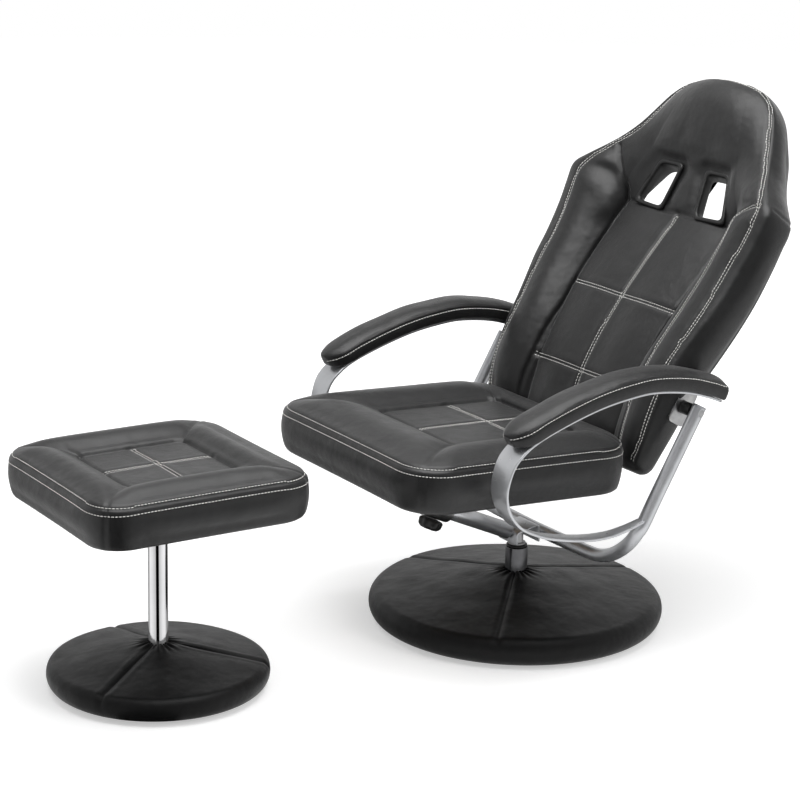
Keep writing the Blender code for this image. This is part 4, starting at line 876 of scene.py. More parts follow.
def cut(piece, cutter):
    """Take the cutter's space out of the piece, apply it, and remove the cutter."""
    boolean = piece.modifiers.new("cut", "BOOLEAN")
    boolean.operation = "DIFFERENCE"
    boolean.solver = "EXACT"
    boolean.object = cutter
    bake_modifiers(piece)
    bpy.data.objects.remove(cutter)


def bake_modifiers(piece):
    """Replace the piece's mesh by what its modifiers make of it."""
    bpy.context.view_layer.update()
    view = bpy.context.evaluated_depsgraph_get()
    mesh = bpy.data.meshes.new_from_object(piece.evaluated_get(view))
    piece.modifiers.clear()
    piece.data = mesh


def rod(name, start, end, radius, material, steps=32):
    """A plain round bar between two points, closed at both ends."""
    start, end = np.array(start, float), np.array(end, float)
    path = np.linspace(start, end, 2)
    aside = np.cross(end - start, (0.0, 0.31, 0.95))
    return carry(name, path, np.repeat(aside[None], 2, 0), circle(radius, steps), material)


def make_frame_tube():
    """The whole tube: the left half's route, and before it the same route mirrored."""
    half = smooth_through(TUBE_ROUTE, 10)
    half = half[half[:, 2] < 0.4845]
    route = np.vstack([half[:0:-1] * (-1, 1, 1), half])
    route = evenly(route, 0.005)
    normals = np.tile((0.0, 1.0, 0.0), (len(route), 1))
    steep = np.clip((np.abs(route[:, :1]) - 0.29) / 0.018, 0, 1)
    normals = unit(normals * (1 - steep) + steep * np.array([1.0, 0.0, 0.0])
                   * np.sign(route[:, :1]))
    tube = carry("frame_tube_smooth", route, normals, circle(TUBE_RADIUS, 40), silver_paint)
    for side in (1, -1):
        for radius, inner, outer in BOLT_HOLES:
            cut(tube, rod("cutter", (side * inner, *PIVOT[1:]), (side * outer, *PIVOT[1:]),
                          radius, silver_paint))
    return set_in(tube, "swivel", ("frame_tube",))


frame_tube = make_frame_tube()
print(frame_tube.name, len(frame_tube.data.polygons), "faces")

# %% [markdown]
# ## The arm bands
# Each arm is a flat steel band of 57 x 5 mm, rolled into an open loop: it starts under the pad,
# curls round in front, and runs back below the seat, narrowing until it meets the tube, where a
# weld bead holds it. Its section is a flat bar with rounded edges, and the width is a function
# of how far along the band it is.

# %% arm bands
BAND_PLACES = (0.0, 0.50, 0.70, 0.84, 1.0)
BAND_WIDTHS = (0.057, 0.057, 0.037, 0.037, 0.018)
BEAD_OFFSET = 0.0078
BEAD_RADIUS = 0.0019


def flat_bar(width, thickness, radius=0.0017, steps=4):
    """The outline of a flat bar: four rounded corners joined by straight sides."""
    turn = np.linspace(0, np.pi / 2, steps)
    corners = [(1, 1, 0), (-1, 1, 1), (-1, -1, 2), (1, -1, 3)]
    across, through = width / 2 - radius, thickness / 2 - radius
    return np.vstack([np.stack([sx * across + radius * np.cos(turn + k * np.pi / 2),
                                sy * through + radius * np.sin(turn + k * np.pi / 2)], 1)
                      for sx, sy, k in corners])


def side_normals(path):
    """The outward normals of a path that runs in an upright plane, away from the loop's middle."""
    along = directions(path)
    return unit(np.stack([np.zeros(len(path)), -along[:, 2], along[:, 1]], 1))


def arm_route(side):
    """The band's middle line on that side, in space, its points about 5 mm apart."""
    flat = evenly(smooth_through(BAND_ROUTE, 8), 0.005)
    return np.stack([np.full(len(flat), side * ARM_X), flat[:, 0], flat[:, 1]], 1)


def make_band(side, hand):
    """The band: a flat bar whose width follows the table of places and widths."""
    path = arm_route(side)
    place = travelled(path) / travelled(path)[-1]
    widths = np.interp(place, BAND_PLACES, BAND_WIDTHS)
    soft = np.convolve(np.pad(widths, 6, mode="edge"), np.ones(13) / 13, mode="valid")
    sections = np.stack([flat_bar(width, BAND_THICKNESS) for width in soft])
    band = carry(f"arm_band_smooth_{hand}", path, side_normals(path), sections, silver_paint)
    return set_in(band, "swivel", (f"arm_band_{hand}",))


def make_weld(side, hand):
    """The weld bead: a rippled ridge along the outer edge of the band's narrow end."""
    path = arm_route(side)[-8:]
    normals = side_normals(path)
    out = np.array([1.0, 0.0, 0.0]) * side
    line = evenly(path + out * BEAD_OFFSET, 0.0012)
    thick = BEAD_RADIUS + 0.0004 * np.abs(np.sin(np.arange(len(line)) * 1.4))
    count = np.arange(len(line))
    ends = np.minimum(1.0, (0.15 + np.minimum(count, count[::-1])) / 3)
    sections = circle(1.0, 10)[None] * (thick * ends)[:, None, None]
    bead = carry(f"weld_bead_{hand}", line, np.tile(normals[:1], (len(line), 1)), sections,
                 silver_paint)
    return set_in(bead, "swivel", ())


for side, hand in ((1, "left"), (-1, "right")):
    band = make_band(side, hand)
    make_weld(side, hand)
    print(band.name, len(band.data.polygons), "faces")

# %% [markdown]
# ## Seat rail and knob
# The seat slides on a fat round rail that slopes up to the front. Below its clamp hangs the
# tension knob, a moulded wheel with six soft lobes: its radius is a cosine of the angle, times
# a profile along its axis.

# %% rail and knob
RAIL_RADIUS = 0.0155
RAIL_SLOPE = math.radians(24)
RAIL_START = np.array([0.0, -0.022, 0.1794])
RAIL_AXIS = np.array([0.0, -math.cos(RAIL_SLOPE), math.sin(RAIL_SLOPE)])
RAIL_LENGTH = 0.255
KNOB_PLACE = np.array([0.0, -0.185, 0.251972])
KNOB_AXIS = np.array([0.0, -math.sin(RAIL_SLOPE), -math.cos(RAIL_SLOPE)])
CLAMP_HALF = 0.0225
KNOB_GAP = 0.0006
KNOB_HEIGHT = 0.0205
KNOB_LOBES = 6
KNOB_LOBE_DEPTH = 0.003


def ring_stack(name, start, axis, profile, steps, material, lobes=0, depth=0.0):
    """Rings along an axis from a profile of travel and radius, each with soft lobes."""
    aside = np.array([1.0, 0.0, 0.0])
    other = np.cross(axis, aside)
    angles = np.linspace(0, 2 * np.pi, steps, endpoint=False)
    profile = np.asarray(profile, float)
    dent = depth * (1 - np.cos(lobes * angles)) / 2
    radius = profile[:, 1:] * (1 - dent / max(profile[:, 1].max(), 1e-9))
    rings = (start + profile[:, :1, None] * axis + radius[..., None]
             * (np.cos(angles)[:, None] * aside + np.sin(angles)[:, None] * other))
    points, faces = closed_loft(rings)
    return outward(new_piece(name, points, faces, material))


rail = ring_stack("seat_rail_smooth", RAIL_START, RAIL_AXIS,
                  [(0.0, RAIL_RADIUS), (RAIL_LENGTH, RAIL_RADIUS)], 64, silver_paint)
set_in(rail, "swivel", ("seat_rail",))
dress("rail_cap", 0.0016)
top = CLAMP_HALF + KNOB_GAP
under = top + KNOB_HEIGHT
knob = ring_stack("tension_knob_moulded", KNOB_PLACE, KNOB_AXIS, rounded(
    [(top, 0.0125), (top, 0.0175), (top + 0.003, 0.0235), (top + 0.0148, 0.0221),
     (under, 0.0155), (under, 0.006)], 0.0030, 7), 144, black_plastic, KNOB_LOBES,
    KNOB_LOBE_DEPTH)
set_in(knob, "knob", ("tension_knob",))

# %% [markdown]
# ## Arm pads
# Each arm rest is a strip of foam on the band under a tight leatherette cover, sewn along the
# edge between its top and its sides with one white row. The form is a section with a flat
# bottom, full sides and a crowned top, carried along the top of the band. Its nose is rounded
# in plan like an ellipse and wraps a little over the band's front.

# %% arm pads
PAD_WIDTH = 0.075
PAD_SIDE = 0.023
PAD_CROWN = 0.014
PAD_NOSE = 0.045
PAD_SPAN = 8
PAD_NOSE_ROUTE = ((-0.2000, 0.4657), (-0.2150, 0.4584), (-0.2270, 0.4527), (-0.2350, 0.4485))
PAD_SECTION = np.array([
    (0.00, 0.000, 0.00), (0.60, 0.000, 0.00), (0.86, 0.005, 0.00), (0.955, 0.09, 0.00),
    (0.990, 0.28, 0.00), (1.000, 0.52, 0.00), (0.990, 0.78, 0.00), (0.955, 0.985, 0.00),
    (0.925, 1.01, 0.17), (0.80, 1.00, 0.53), (0.55, 1.00, 0.86), (0.28, 1.00, 0.98),
    (0.00, 1.00, 1.00)])
PAD_SEAM_COLUMN = 7
PAD_STITCH_OFFSET = 0.0022
PAD_FURROW = (0.0008, 0.0016)
PAD_GAP = 0.0005
PAD_UNEVENNESS = 0.0006
TAIL_SINK, TAIL_LENGTH = 0.62, 0.022
NOSE_SINK = 0.55


def make_pad(side, hand):
    """Rings of the section: its width shrinks like an ellipse towards the nose, and its crown
    sinks a little at the tail. Returns the piece and the lines of its two seams."""
    route = np.vstack([BAND_ROUTE[:PAD_SPAN], PAD_NOSE_ROUTE])
    path = evenly(smooth_through(route, 12), 0.004)
    gone = travelled(path)
    ends = 1 - np.linspace(1, 0, 9)[:-1] ** 2
    tip = gone[-1] - PAD_NOSE * 0.10 * (1 - np.sqrt(np.clip(ends, 0, 1)))
    marks = np.unique(np.concatenate([gone[gone < gone[-1] - 0.004], tip]))
    path = np.stack([np.interp(marks, gone, path[:, i]) for i in (0, 1)], 1)
    gone = marks
    along = directions(path)
    normal = np.stack([-along[:, 1], along[:, 0]], 1)
    normal *= np.sign(normal[len(normal) // 3, 1])
    to_nose = (gone[-1] - gone + 0.0022) / PAD_NOSE
    narrow = np.sqrt(np.clip(1 - np.clip(1 - to_nose, 0, 1) ** 2, 0.0, 1))
    tail = 1 - TAIL_SINK * np.clip(1 - gone / TAIL_LENGTH, 0, 1) ** 2
    half = smooth_through(PAD_SECTION, 5)
    section = np.vstack([half, half[-2:0:-1] * (-1, 1, 1)])
    across = section[:, 0] * narrow[:, None] * PAD_WIDTH / 2
    up = section[:, 1] * PAD_SIDE + section[:, 2] * tail[:, None] * PAD_CROWN
    up += (PAD_SIDE - up) * NOSE_SINK * (1 - narrow[:, None])
    up += BAND_THICKNESS / 2 + PAD_GAP
    up += PAD_UNEVENNESS * np.sin(gone * 60 + side)[:, None] * (section[:, 2] > 0.4)
    rings = np.stack([side * ARM_X + across,
                      path[:, :1] + normal[:, :1] * up, path[:, 1:] + normal[:, 1:] * up], 2)
    points, faces = closed_loft(rings)
    pad = outward(new_piece(f"arm_pad_cover_{hand}", points, faces, leatherette))
    column = PAD_SEAM_COLUMN * 5
    seams = [rings[:, column], rings[:, -column]]
    return pad, seams


def pinch_lines(piece, lines, depth, width, swell=0.0):
    """Press furrows into a piece: each point sinks against its normal by the depth times a bell
    curve of its distance to the nearest line, and rises a little beside it by the swell."""
    points, normals = points_of(piece), normals_of(piece)
    sink = np.zeros(len(points))
    for line in lines:
        near = distance_to(points, line, width * 7)
        furrow = depth * pinch(near, width) - swell * pinch(near - width * 3, width * 1.6)
        sink = np.where(np.abs(furrow) > np.abs(sink), furrow, sink)
    set_points(piece, points - normals * sink[:, None])


def distance_to(points, line, reach):
    """The distance from each point to the line, found only within the reach of its box."""
    line = np.asarray(line, float)
    found = np.full(len(points), 1.0)
    inside = np.all((points > line.min(0) - reach) & (points < line.max(0) + reach), axis=1)
    chosen = np.flatnonzero(inside)
    start, step = line[:-1], np.diff(line, axis=0)
    size = np.maximum((step ** 2).sum(1), 1e-12)
    for part in np.array_split(chosen, max(1, len(chosen) // 4000 + 1)):
        away = points[part][:, None] - start
        t = np.clip((away * step).sum(2) / size, 0, 1)
        gap = away - t[..., None] * step
        found[part] = np.sqrt((gap ** 2).sum(2).min(1))
    return found


print("pad helpers ready")

# %% [markdown]
# ## Stitches
# A row of lockstitch shows as short raised dashes with small gaps. Each dash here is a little
# spindle with six sides and a few rings, laid on the surface and turned to run along the seam.
# One small shape is repeated by arrays: its points times each stitch's three directions.

# %% stitch helpers
STITCH_LENGTH = 0.0048
STITCH_PITCH = 0.0062
STITCH_THICK = 0.00062
SPINDLE_RINGS = np.array([(-0.5, 0.0), (-0.42, 0.72), (-0.15, 1.0), (0.15, 1.0), (0.42, 0.72),
                          (0.5, 0.0)])


def spindle():
    """One stitch along X: rings of six points between two tips, and its faces."""
    turn = np.linspace(0, 2 * np.pi, 6, endpoint=False)
    body = SPINDLE_RINGS[1:-1]
    rings = np.stack([np.repeat(body[:, :1] * STITCH_LENGTH, 6, 1),
                      body[:, 1:] * np.cos(turn) * STITCH_THICK * 1.15,
                      body[:, 1:] * np.sin(turn) * STITCH_THICK], 2)
    tips = np.array([(-0.5 * STITCH_LENGTH, 0, 0), (0.5 * STITCH_LENGTH, 0, 0)])
    faces = loop_faces(4, 6)
    faces += [[24, (i + 1) % 6, i] for i in range(6)]
    faces += [[25, 18 + i, 18 + (i + 1) % 6] for i in range(6)]
    return np.vstack([rings.reshape(-1, 3), tips]), faces


def surface_of(piece):
    """The piece's faces as a tree that finds the nearest place on them."""
    return BVHTree.FromPolygons([tuple(p) for p in points_of(piece)],
                                [tuple(face.vertices) for face in piece.data.polygons])


def lay_on(tree, line):
    """The nearest places on the surface to the line's points, and the normals there."""
    found = [tree.find_nearest(Vector(point)) for point in line]
    return (np.array([tuple(place) for place, *rest in found]),
            np.array([tuple(normal) for _, normal, *rest in found]))


def beside(tree, line, offset):
    """A line on the surface that runs beside another at the offset, to its left seen from
    outside when the offset is positive."""
    placed, normals = lay_on(tree, line)
    return lay_on(tree, placed + unit(np.cross(normals, directions(placed))) * offset)[0]


def sew(name, piece, rows, body, lift=0.00022):
    """One object with every stitch of the rows, laid on the piece."""
    tree = surface_of(piece)
    shape, faces = spindle()
    frames = []
    for row in rows:
        marks = evenly(row, STITCH_PITCH)
        placed, normals = lay_on(tree, marks)
        along = directions(placed)
        side = unit(np.cross(normals, along))
        out = unit(np.cross(along, side))
        frames.append(np.stack([along, side, out, placed + out * lift], 1))
    frames = np.concatenate(frames)
    points = np.einsum("pk,nkd->npd", shape, frames[:, :3]) + frames[:, 3:]
    every = (np.array([len(shape)]) * np.arange(len(frames)))[:, None]
    quads = np.array([f for f in faces if len(f) == 4])
    ends = np.array([f for f in faces if len(f) == 3])
    all_faces = (every[:, None] + quads).reshape(-1, 4).tolist()
    all_faces += (every[:, None] + ends).reshape(-1, 3).tolist()
    stitches = new_piece(name, points.reshape(-1, 3), all_faces, thread)
    set_in(stitches, body)
    print(name, len(frames), "stitches")
    return stitches


for side, hand in ((1, "left"), (-1, "right")):
    pad, seams = make_pad(side, hand)
    pinch_lines(pad, seams, *PAD_FURROW)
    tree = surface_of(pad)
    rows = [beside(tree, evenly(seam[2:-1], 0.006), sign * side * PAD_STITCH_OFFSET)
            for sign, seam in zip((-1, 1), seams)]
    set_in(pad, "swivel", (f"arm_pad_{hand}",))
    sew(f"arm_pad_stitches_{hand}", pad, rows, "swivel")
    print(pad.name, len(pad.data.polygons), "faces")

# %% [markdown]
# ## Cushions
# The seat and the footstool have the same cushion: a boxed border that crowns, drawn-in sides,
# and a flat quilted panel let into the middle. A good grid for it is a cube's: one square patch
# for the panel, closed rings from there out and down the sides, and one patch underneath. Each
# ring is a rounded rectangle, written as a function of where a point lies on a unit square.
#
# The swell of stuffed panels between their seams is hard to write down, so it is left to a
# cloth simulation: the seams are pinned, air pressure pushes the skin out, and after 14 frames
# its moves are smoothed, scaled to a height and kept. Seams and stitches come after that.

# %% cushion grid
PATCH = 44
CORNER_SHARE = 0.24


def rounded_place(s, t, half_x, half_y, radius):
    """Where a point of the unit square's edge lies on a rounded rectangle: the straight parts
    map to straight parts, and the share next to a corner maps to the corner's arc."""
    flip = np.abs(t) > np.abs(s)
    first, second = np.where(flip, t, s), np.where(flip, s, t)
    first_half, second_half = np.where(flip, half_y, half_x), np.where(flip, half_x, half_y)
    share = np.abs(second)
    arc = np.clip((share - (1 - CORNER_SHARE)) / CORNER_SHARE, 0, 1) * np.pi / 4
    straight = np.clip(share / (1 - CORNER_SHARE), 0, 1) * (second_half - radius)
    one = np.sign(first) * (first_half - radius + radius * np.cos(arc))
    two = np.sign(second) * (straight + radius * np.sin(arc))
    return np.where(flip, two, one), np.where(flip, one, two)


def patch_grid():
    """The unit square's grid, its border in order, and each point's distance and direction."""
    line = np.linspace(-1, 1, PATCH + 1)
    s, t = np.meshgrid(line, line, indexing="ij")
    index = np.arange((PATCH + 1) ** 2).reshape(PATCH + 1, PATCH + 1)
    border = np.concatenate([index[-1, :-1], index[:0:-1, -1], index[0, :0:-1], index[:-1, 0]])
    faces = np.stack([index[:-1, :-1], index[1:, :-1], index[1:, 1:], index[:-1, 1:]], 2)
    reach = np.maximum(np.abs(s), np.abs(t)).ravel()
    safe = np.maximum(reach, 1e-9)
    return s.ravel() / safe, t.ravel() / safe, reach, border, faces.reshape(-1, 4)


CUSHION_LEVELS = np.array([
    (1.000, 0.835), (0.965, 0.872), (0.900, 0.915), (0.720, 0.972), (0.470, 1.000),
    (0.240, 0.985), (0.090, 0.928), (0.012, 0.840), (-0.012, 0.700), (-0.020, 0.450),
    (0.010, 0.170), (0.055, 0.040), (0.160, 0.000)])
PANEL_LEVELS = np.array([(0.0, 0.872), (0.45, 0.870), (0.80, 0.864), (0.94, 0.852),
                         (1.0, 0.835)])
SIDE_DRAW = 0.012


def cushion_piece(name, outer, panel, height):
    """The cushion: panel patch, rings by the levels table, and the patch underneath. Returns
    the piece and the index arrays of its panel seam, border seam and corner lines."""
    s, t, reach, border, patch_faces = patch_grid()
    width = outer["half"] - panel["half"]
    levels = smooth_through(CUSHION_LEVELS, 16)
    levels = evenly(levels * (width, height), 0.0062) / (width, height)
    seam_row = int(np.argmin(np.abs(levels[:, 1] - 0.84) + (levels[:, 0] > 0.3)))
    bs, bt = s[border], t[border]

    def level(inward, up, s, t, size=1.0):
        """Points at a share of the way from the outer outline to the panel's, and at a height."""
        share = {k: outer[k] + (panel[k] - outer[k]) * inward for k in outer}
        half_y = (share["rear"] - share["front"]) / 2 * size
        middle = (share["rear"] + share["front"]) / 2
        half_x = share["half"] * size
        radius = share["radius"] * np.minimum(1, size * size)
        x, y = rounded_place(s, t, half_x, half_y, radius)
        pull = SIDE_DRAW * np.maximum(0, 1 - inward)
        along_x, along_y = x / np.maximum(half_x, 1e-6), y / np.maximum(half_y, 1e-6)
        x = x * (1 - pull * (1 - along_y ** 2) * (np.abs(along_x) > 0.9))
        y = y * (1 - pull * (1 - along_x ** 2) * (np.abs(along_y) > 0.9))
        return np.stack([x, y + middle, np.broadcast_to(up * height, x.shape)], -1)

    panel_up = np.interp(reach, PANEL_LEVELS[:, 0], PANEL_LEVELS[:, 1])
    top = level(1.0, panel_up, s, t, reach)
    rings = level(levels[1:, :1], levels[1:, 1:], bs[None], bt[None])
    last = levels[-1]
    under = level(last[0], last[1], s, t, reach)
    inner = np.setdiff1d(np.arange(len(under)), border)
    points = np.vstack([top, rings.reshape(-1, 3), under[inner]])
    ring_size = len(border)
    ring_index = [border] + [len(top) + k * ring_size + np.arange(ring_size)
                             for k in range(len(rings))]
    under_index = np.empty(len(under), int)
    under_index[inner] = len(top) + rings.shape[0] * ring_size + np.arange(len(inner))
    under_index[border] = ring_index[-1]
    faces = patch_faces.tolist() + under_index[patch_faces][:, ::-1].tolist()
    for a, b in zip(ring_index, ring_index[1:]):
        faces += np.stack([a, b, np.roll(b, -1), np.roll(a, -1)], 1).tolist()
    piece = outward(new_piece(name, points, faces, leatherette))
    columns = {"panel": border, "border": ring_index[seam_row]}
    for k in range(4):
        columns[f"corner_{k}"] = np.array([ring[k * PATCH] for ring in ring_index[:seam_row + 1]])
    return piece, columns


PRESSURE = 40.0
CLOTH_FRAMES = 14
SMOOTHINGS = 6
HOLD = 0.6


def blow_up(piece, pinned, swell):
    """Cloth simulation: pinned points stay and air pressure moves the rest. Its move along the
    normals is averaged with the neighbours a few times, because a thick skin has no fine
    wrinkles, and scaled so that the fullest places stand out by the swell. The result is
    written into the mesh, and no Cloth modifier is left."""
    group = piece.vertex_groups.new(name="sewn")
    for weight in (0.25, 0.5, 1.0):
        chosen = np.flatnonzero((pinned > weight - 0.25) & (pinned <= weight + 1e-6))
        group.add(chosen.tolist(), weight, "REPLACE")
    cloth = piece.modifiers.new("swell", "CLOTH")
    cloth.settings.vertex_group_mass = "sewn"
    cloth.settings.use_pressure = True
    cloth.settings.uniform_pressure_force = PRESSURE
    cloth.settings.effector_weights.gravity = 0.0
    cloth.settings.quality = 5
    cloth.settings.mass = 0.3
    cloth.settings.bending_stiffness = 0.6
    cloth.point_cache.frame_start = 1
    cloth.point_cache.frame_end = CLOTH_FRAMES
    scene = bpy.context.scene
    for frame_number in range(1, CLOTH_FRAMES + 1):
        scene.frame_set(frame_number)
    view = bpy.context.evaluated_depsgraph_get()
    shape = piece.evaluated_get(view).to_mesh()
    after = np.empty(len(shape.vertices) * 3)
    shape.vertices.foreach_get("co", after)
    before = points_of(piece)
    normals = normals_of(piece)
    amount = np.einsum("ij,ij->i", after.reshape(-1, 3) - before, normals)
    ends = np.empty(len(piece.data.edges) * 2, np.int32)
    piece.data.edges.foreach_get("vertices", ends)
    first, second = ends.reshape(-1, 2).T
    count = np.bincount(ends, minlength=len(before))
    for _ in range(SMOOTHINGS):
        near = (np.bincount(first, amount[second], len(before))
                + np.bincount(second, amount[first], len(before)))
        amount = (0.4 * amount + 0.6 * near / np.maximum(count, 1)) * (1 - HOLD * pinned)
    amount = np.clip(amount, 0, None)
    amount *= swell / max(np.percentile(amount, 98), 1e-9)
    piece.evaluated_get(view).to_mesh_clear()
    piece.modifiers.clear()
    piece.vertex_groups.clear()
    set_points(piece, before + np.minimum(amount, swell * 1.15)[:, None] * normals)
    scene.frame_set(1)
    return float(amount.max())


def pins_near(piece, lines, width):
    """How firmly each point is held: 1 on a line, then a bell curve of the distance to 0."""
    points = points_of(piece)
    held = np.zeros(len(points))
    for line in lines:
        held = np.maximum(held, pinch(distance_to(points, line, width * 3), width))
    return held


def smooth_once(piece):
    """One level of subdivision, applied."""
    surf = piece.modifiers.new("smooth", "SUBSURF")
    surf.levels = surf.render_levels = 1
    bake_modifiers(piece)


print("cushion helpers ready")

# %% [markdown]
# The seams of a cushion are lines on its skin: the panel's edge, the two cross seams that quilt
# the panel, the corner seams of the border, and the seam at the top of the sides with a second
# topstitch below it. They are found again on the swollen skin, pressed in as narrow furrows, and
# sewn with white rows on both sides where the photograph shows them.

# %% seat and footstool cushions
TWIN = 0.0040
ABOVE_SEAM = 0.0026
TOPSTITCH_DROP = 0.012
CUSHION_SWELL = 0.010
# The depth, the width and the swell of each kind of furrow in metres.
PANEL_FURROW, BORDER_FURROW = (0.0028, 0.0032, 0.0006), (0.0016, 0.0024, 0.0004)
QUILT_FURROW = (0.0022, 0.0040, 0.0006)
REAR_HELD = 0.045
QUILT_HELD = 0.3


def across_line(piece_tree, start, end, step=0.006):
    """A line over the top of a cushion between two places, laid on its skin from above."""
    flat = evenly(np.array([start, end], float), step)
    hits = [piece_tree.ray_cast(Vector((x, y, 0.5)), Vector((0, 0, -1)))[0] for x, y in flat]
    return np.array([tuple(hit) for hit in hits if hit is not None])


def make_cushion(name, outer, panel, height, crosses):
    """Blow the cushion up between its seams, press the seams in, and return it with its rows of
    stitches, all still in the cushion's own level frame."""
    piece, columns = cushion_piece(name, outer, panel, height)
    tree = surface_of(piece)
    ring = points_of(piece)
    closed = {k: np.vstack([ring[v], ring[v[:1]]]) for k, v in columns.items() if k in
              ("panel", "border")}
    corners = [ring[columns[f"corner_{k}"]] for k in range(4)]
    cross_x, cross_y = crosses
    front, rear, half = panel["front"] + 0.002, panel["rear"] - 0.002, panel["half"] - 0.002
    quilt = [across_line(tree, (cross_x, front), (cross_x, rear)),
             across_line(tree, (-half, cross_y), (half, cross_y))]
    pinned = pins_near(piece, [closed["panel"], closed["border"], *corners], 0.006)
    x, y, z = points_of(piece).T
    pinned = np.maximum(pinned, ((z < height * 0.3) | (y > outer["rear"] - REAR_HELD)) * 1.0)
    quilted = ((np.abs(x) < panel["half"]) & (y > panel["front"]) & (y < panel["rear"])
               & (z > height * 0.6))
    pinned = np.maximum(pinned, quilted * QUILT_HELD)
    widest = blow_up(piece, pinned, CUSHION_SWELL)
    smooth_once(piece)
    tree = surface_of(piece)
    seams = [closed["panel"], closed["border"], *quilt, *corners]
    seams = [lay_on(tree, evenly(seam, 0.005))[0] for seam in seams]
    panel_seam, border_seam, *rest = seams
    quilt, corners = rest[:2], rest[2:]
    side_seams = []
    for k in range(4):
        start = ring[columns[f"corner_{k}"][-1]]
        down = np.linspace(start, start * (0.985, 1, 0) + (0, 0, height * 0.12), 12)
        side_seams.append(lay_on(tree, down)[0])
    for group, furrow in (([panel_seam], PANEL_FURROW), ([border_seam], BORDER_FURROW),
                          (quilt, QUILT_FURROW), (corners + side_seams, BORDER_FURROW)):
        pinch_lines(piece, group, *furrow)
    tree = surface_of(piece)
    rows = [beside(tree, line, sign * TWIN) for line in quilt for sign in (1, -1)]
    rows.append(max((beside(tree, border_seam, sign * ABOVE_SEAM) for sign in (1, -1)),
                    key=lambda row: row[:, 2].mean()))
    rows.append(lay_on(tree, border_seam - (0.0, 0.0, TOPSTITCH_DROP))[0])
    print(name, len(piece.data.polygons), "faces, widest move", round(widest, 4))
    return piece, rows


def place(piece, matrix):
    """Move the mesh itself by the matrix, so that the object stays at the origin."""
    piece.data.transform(matrix)
    piece.data.update()


def moved_by(rows, matrix):
    """Lines of points moved by the same matrix."""
    turn = np.array(matrix)
    return [row @ turn[:3, :3].T + turn[:3, 3] for row in rows]


SEAT_MATRIX = Matrix.Translation((0, 0, 0.314)) @ Matrix.Rotation(math.radians(-2.5), 4, "X")
SEAT_OUTER = {"half": 0.262, "front": -0.398, "rear": 0.074, "radius": 0.075}
SEAT_PANEL = {"half": 0.130, "front": -0.238, "rear": 0.030, "radius": 0.020}
STOOL_OUTER = {"half": 0.207, "front": -0.207, "rear": 0.207, "radius": 0.062}
STOOL_PANEL = {"half": 0.105, "front": -0.105, "rear": 0.105, "radius": 0.020}
STOOL_MATRIX = Matrix.Translation((*POLE_PLACE[:2], 0.332))
# For each cushion: its outer outline and its panel's, its height, where its quilting seams cross,
# and its place.
CUSHIONS = {
    "seat": (SEAT_OUTER, SEAT_PANEL, 0.099, (0.004, -0.086), SEAT_MATRIX),
    "stool": (STOOL_OUTER, STOOL_PANEL, 0.088, (0.004, 0.0), STOOL_MATRIX)}
for body, (outer, panel, height, crosses, matrix) in CUSHIONS.items():
    piece, rows = make_cushion(f"{body}_cushion_skin", outer, panel, height, crosses)
    place(piece, matrix)
    set_in(piece, body, (f"{body}_cushion",))
    sew(f"{body}_cushion_stitches", piece, moved_by(rows, matrix), body)

# %% [markdown]
# ## The back
# The back is one large cushion with several parts sewn into it: a quilted panel between two
# long bolsters, a pillow for the head, and side panels that close it to the rear. It is made in
# its own frame, where X goes across, Y is the depth towards the rear, and Z runs up the back
# from the pivot. Stations from the lower end to the top give its half width and its depths, and
# one section function gives the outline at each of them. The rear is sunk round the harness
# holes, and the sitter's right side is a little wider above the arms.

# %% the back's stations
RECLINE = math.radians(30)
BACK_MATRIX = Matrix((
    (1, 0, 0, 0.0), (0, math.cos(RECLINE), math.sin(RECLINE), 0.168),
    (0, -math.sin(RECLINE), math.cos(RECLINE), 0.463), (0, 0, 0, 1)))
# Height above the pivot, half width, depth of the front edge, of the middle, of the rear, and
# how far the side panel bulges.
STATIONS = np.array([
    (-0.1436, 0.205, 0.005, 0.007, 0.029, 0.007), (-0.1375, 0.218, -0.005, -0.001, 0.037, 0.013),
    (-0.1238, 0.225, -0.019, -0.009, 0.045, 0.020), (-0.0934, 0.228, -0.033, -0.017, 0.050, 0.026),
    (-0.0539, 0.231, -0.045, -0.025, 0.053, 0.028), (-0.0038, 0.233, -0.053, -0.033, 0.056, 0.028),
    (0.0563, 0.238, -0.056, -0.034, 0.060, 0.026), (0.1163, 0.246, -0.051, -0.030, 0.066, 0.026),
    (0.1764, 0.252, -0.045, -0.022, 0.073, 0.031), (0.2364, 0.256, -0.040, -0.011, 0.077, 0.033),
    (0.2964, 0.261, -0.040, 0.002, 0.074, 0.033), (0.3413, 0.266, -0.043, 0.013, 0.068, 0.033),
    (0.3762, 0.268, -0.046, 0.013, 0.064, 0.031), (0.4013, 0.248, -0.041, 0.010, 0.062, 0.030),
    (0.4317, 0.222, -0.031, 0.006, 0.061, 0.023), (0.4614, 0.202, -0.021, -0.005, 0.060, 0.017),
    (0.4963, 0.181, -0.014, -0.023, 0.061, 0.013), (0.5313, 0.162, -0.011, -0.035, 0.053, 0.012),
    (0.5662, 0.141, -0.010, -0.039, 0.043, 0.010), (0.5913, 0.115, -0.010, -0.036, 0.031, 0.008),
    (0.6080, 0.082, -0.009, -0.027, 0.018, 0.007), (0.6164, 0.042, -0.007, -0.015, 0.009, 0.006)])
SPANS = (11, 6, 3, 3, 4, 4, 3, 3, 4, 5, 6, 3, 12, 15)
SEAM_HEIGHTS = (-0.12, -0.0586, -0.0176, 0.0284, 0.0984, 0.1724, 0.2484, 0.2984, 0.3474)
SEAM_ACROSS = (0.152, 0.155, 0.153, 0.153, 0.153, 0.158, 0.163, 0.163, 0.164)
EDGE_ROLL = 0.005
CROWN = 0.004
PILLOW_POWER = 2.2
FAR_WIDENING = 0.007
REAR_SINK = 0.026


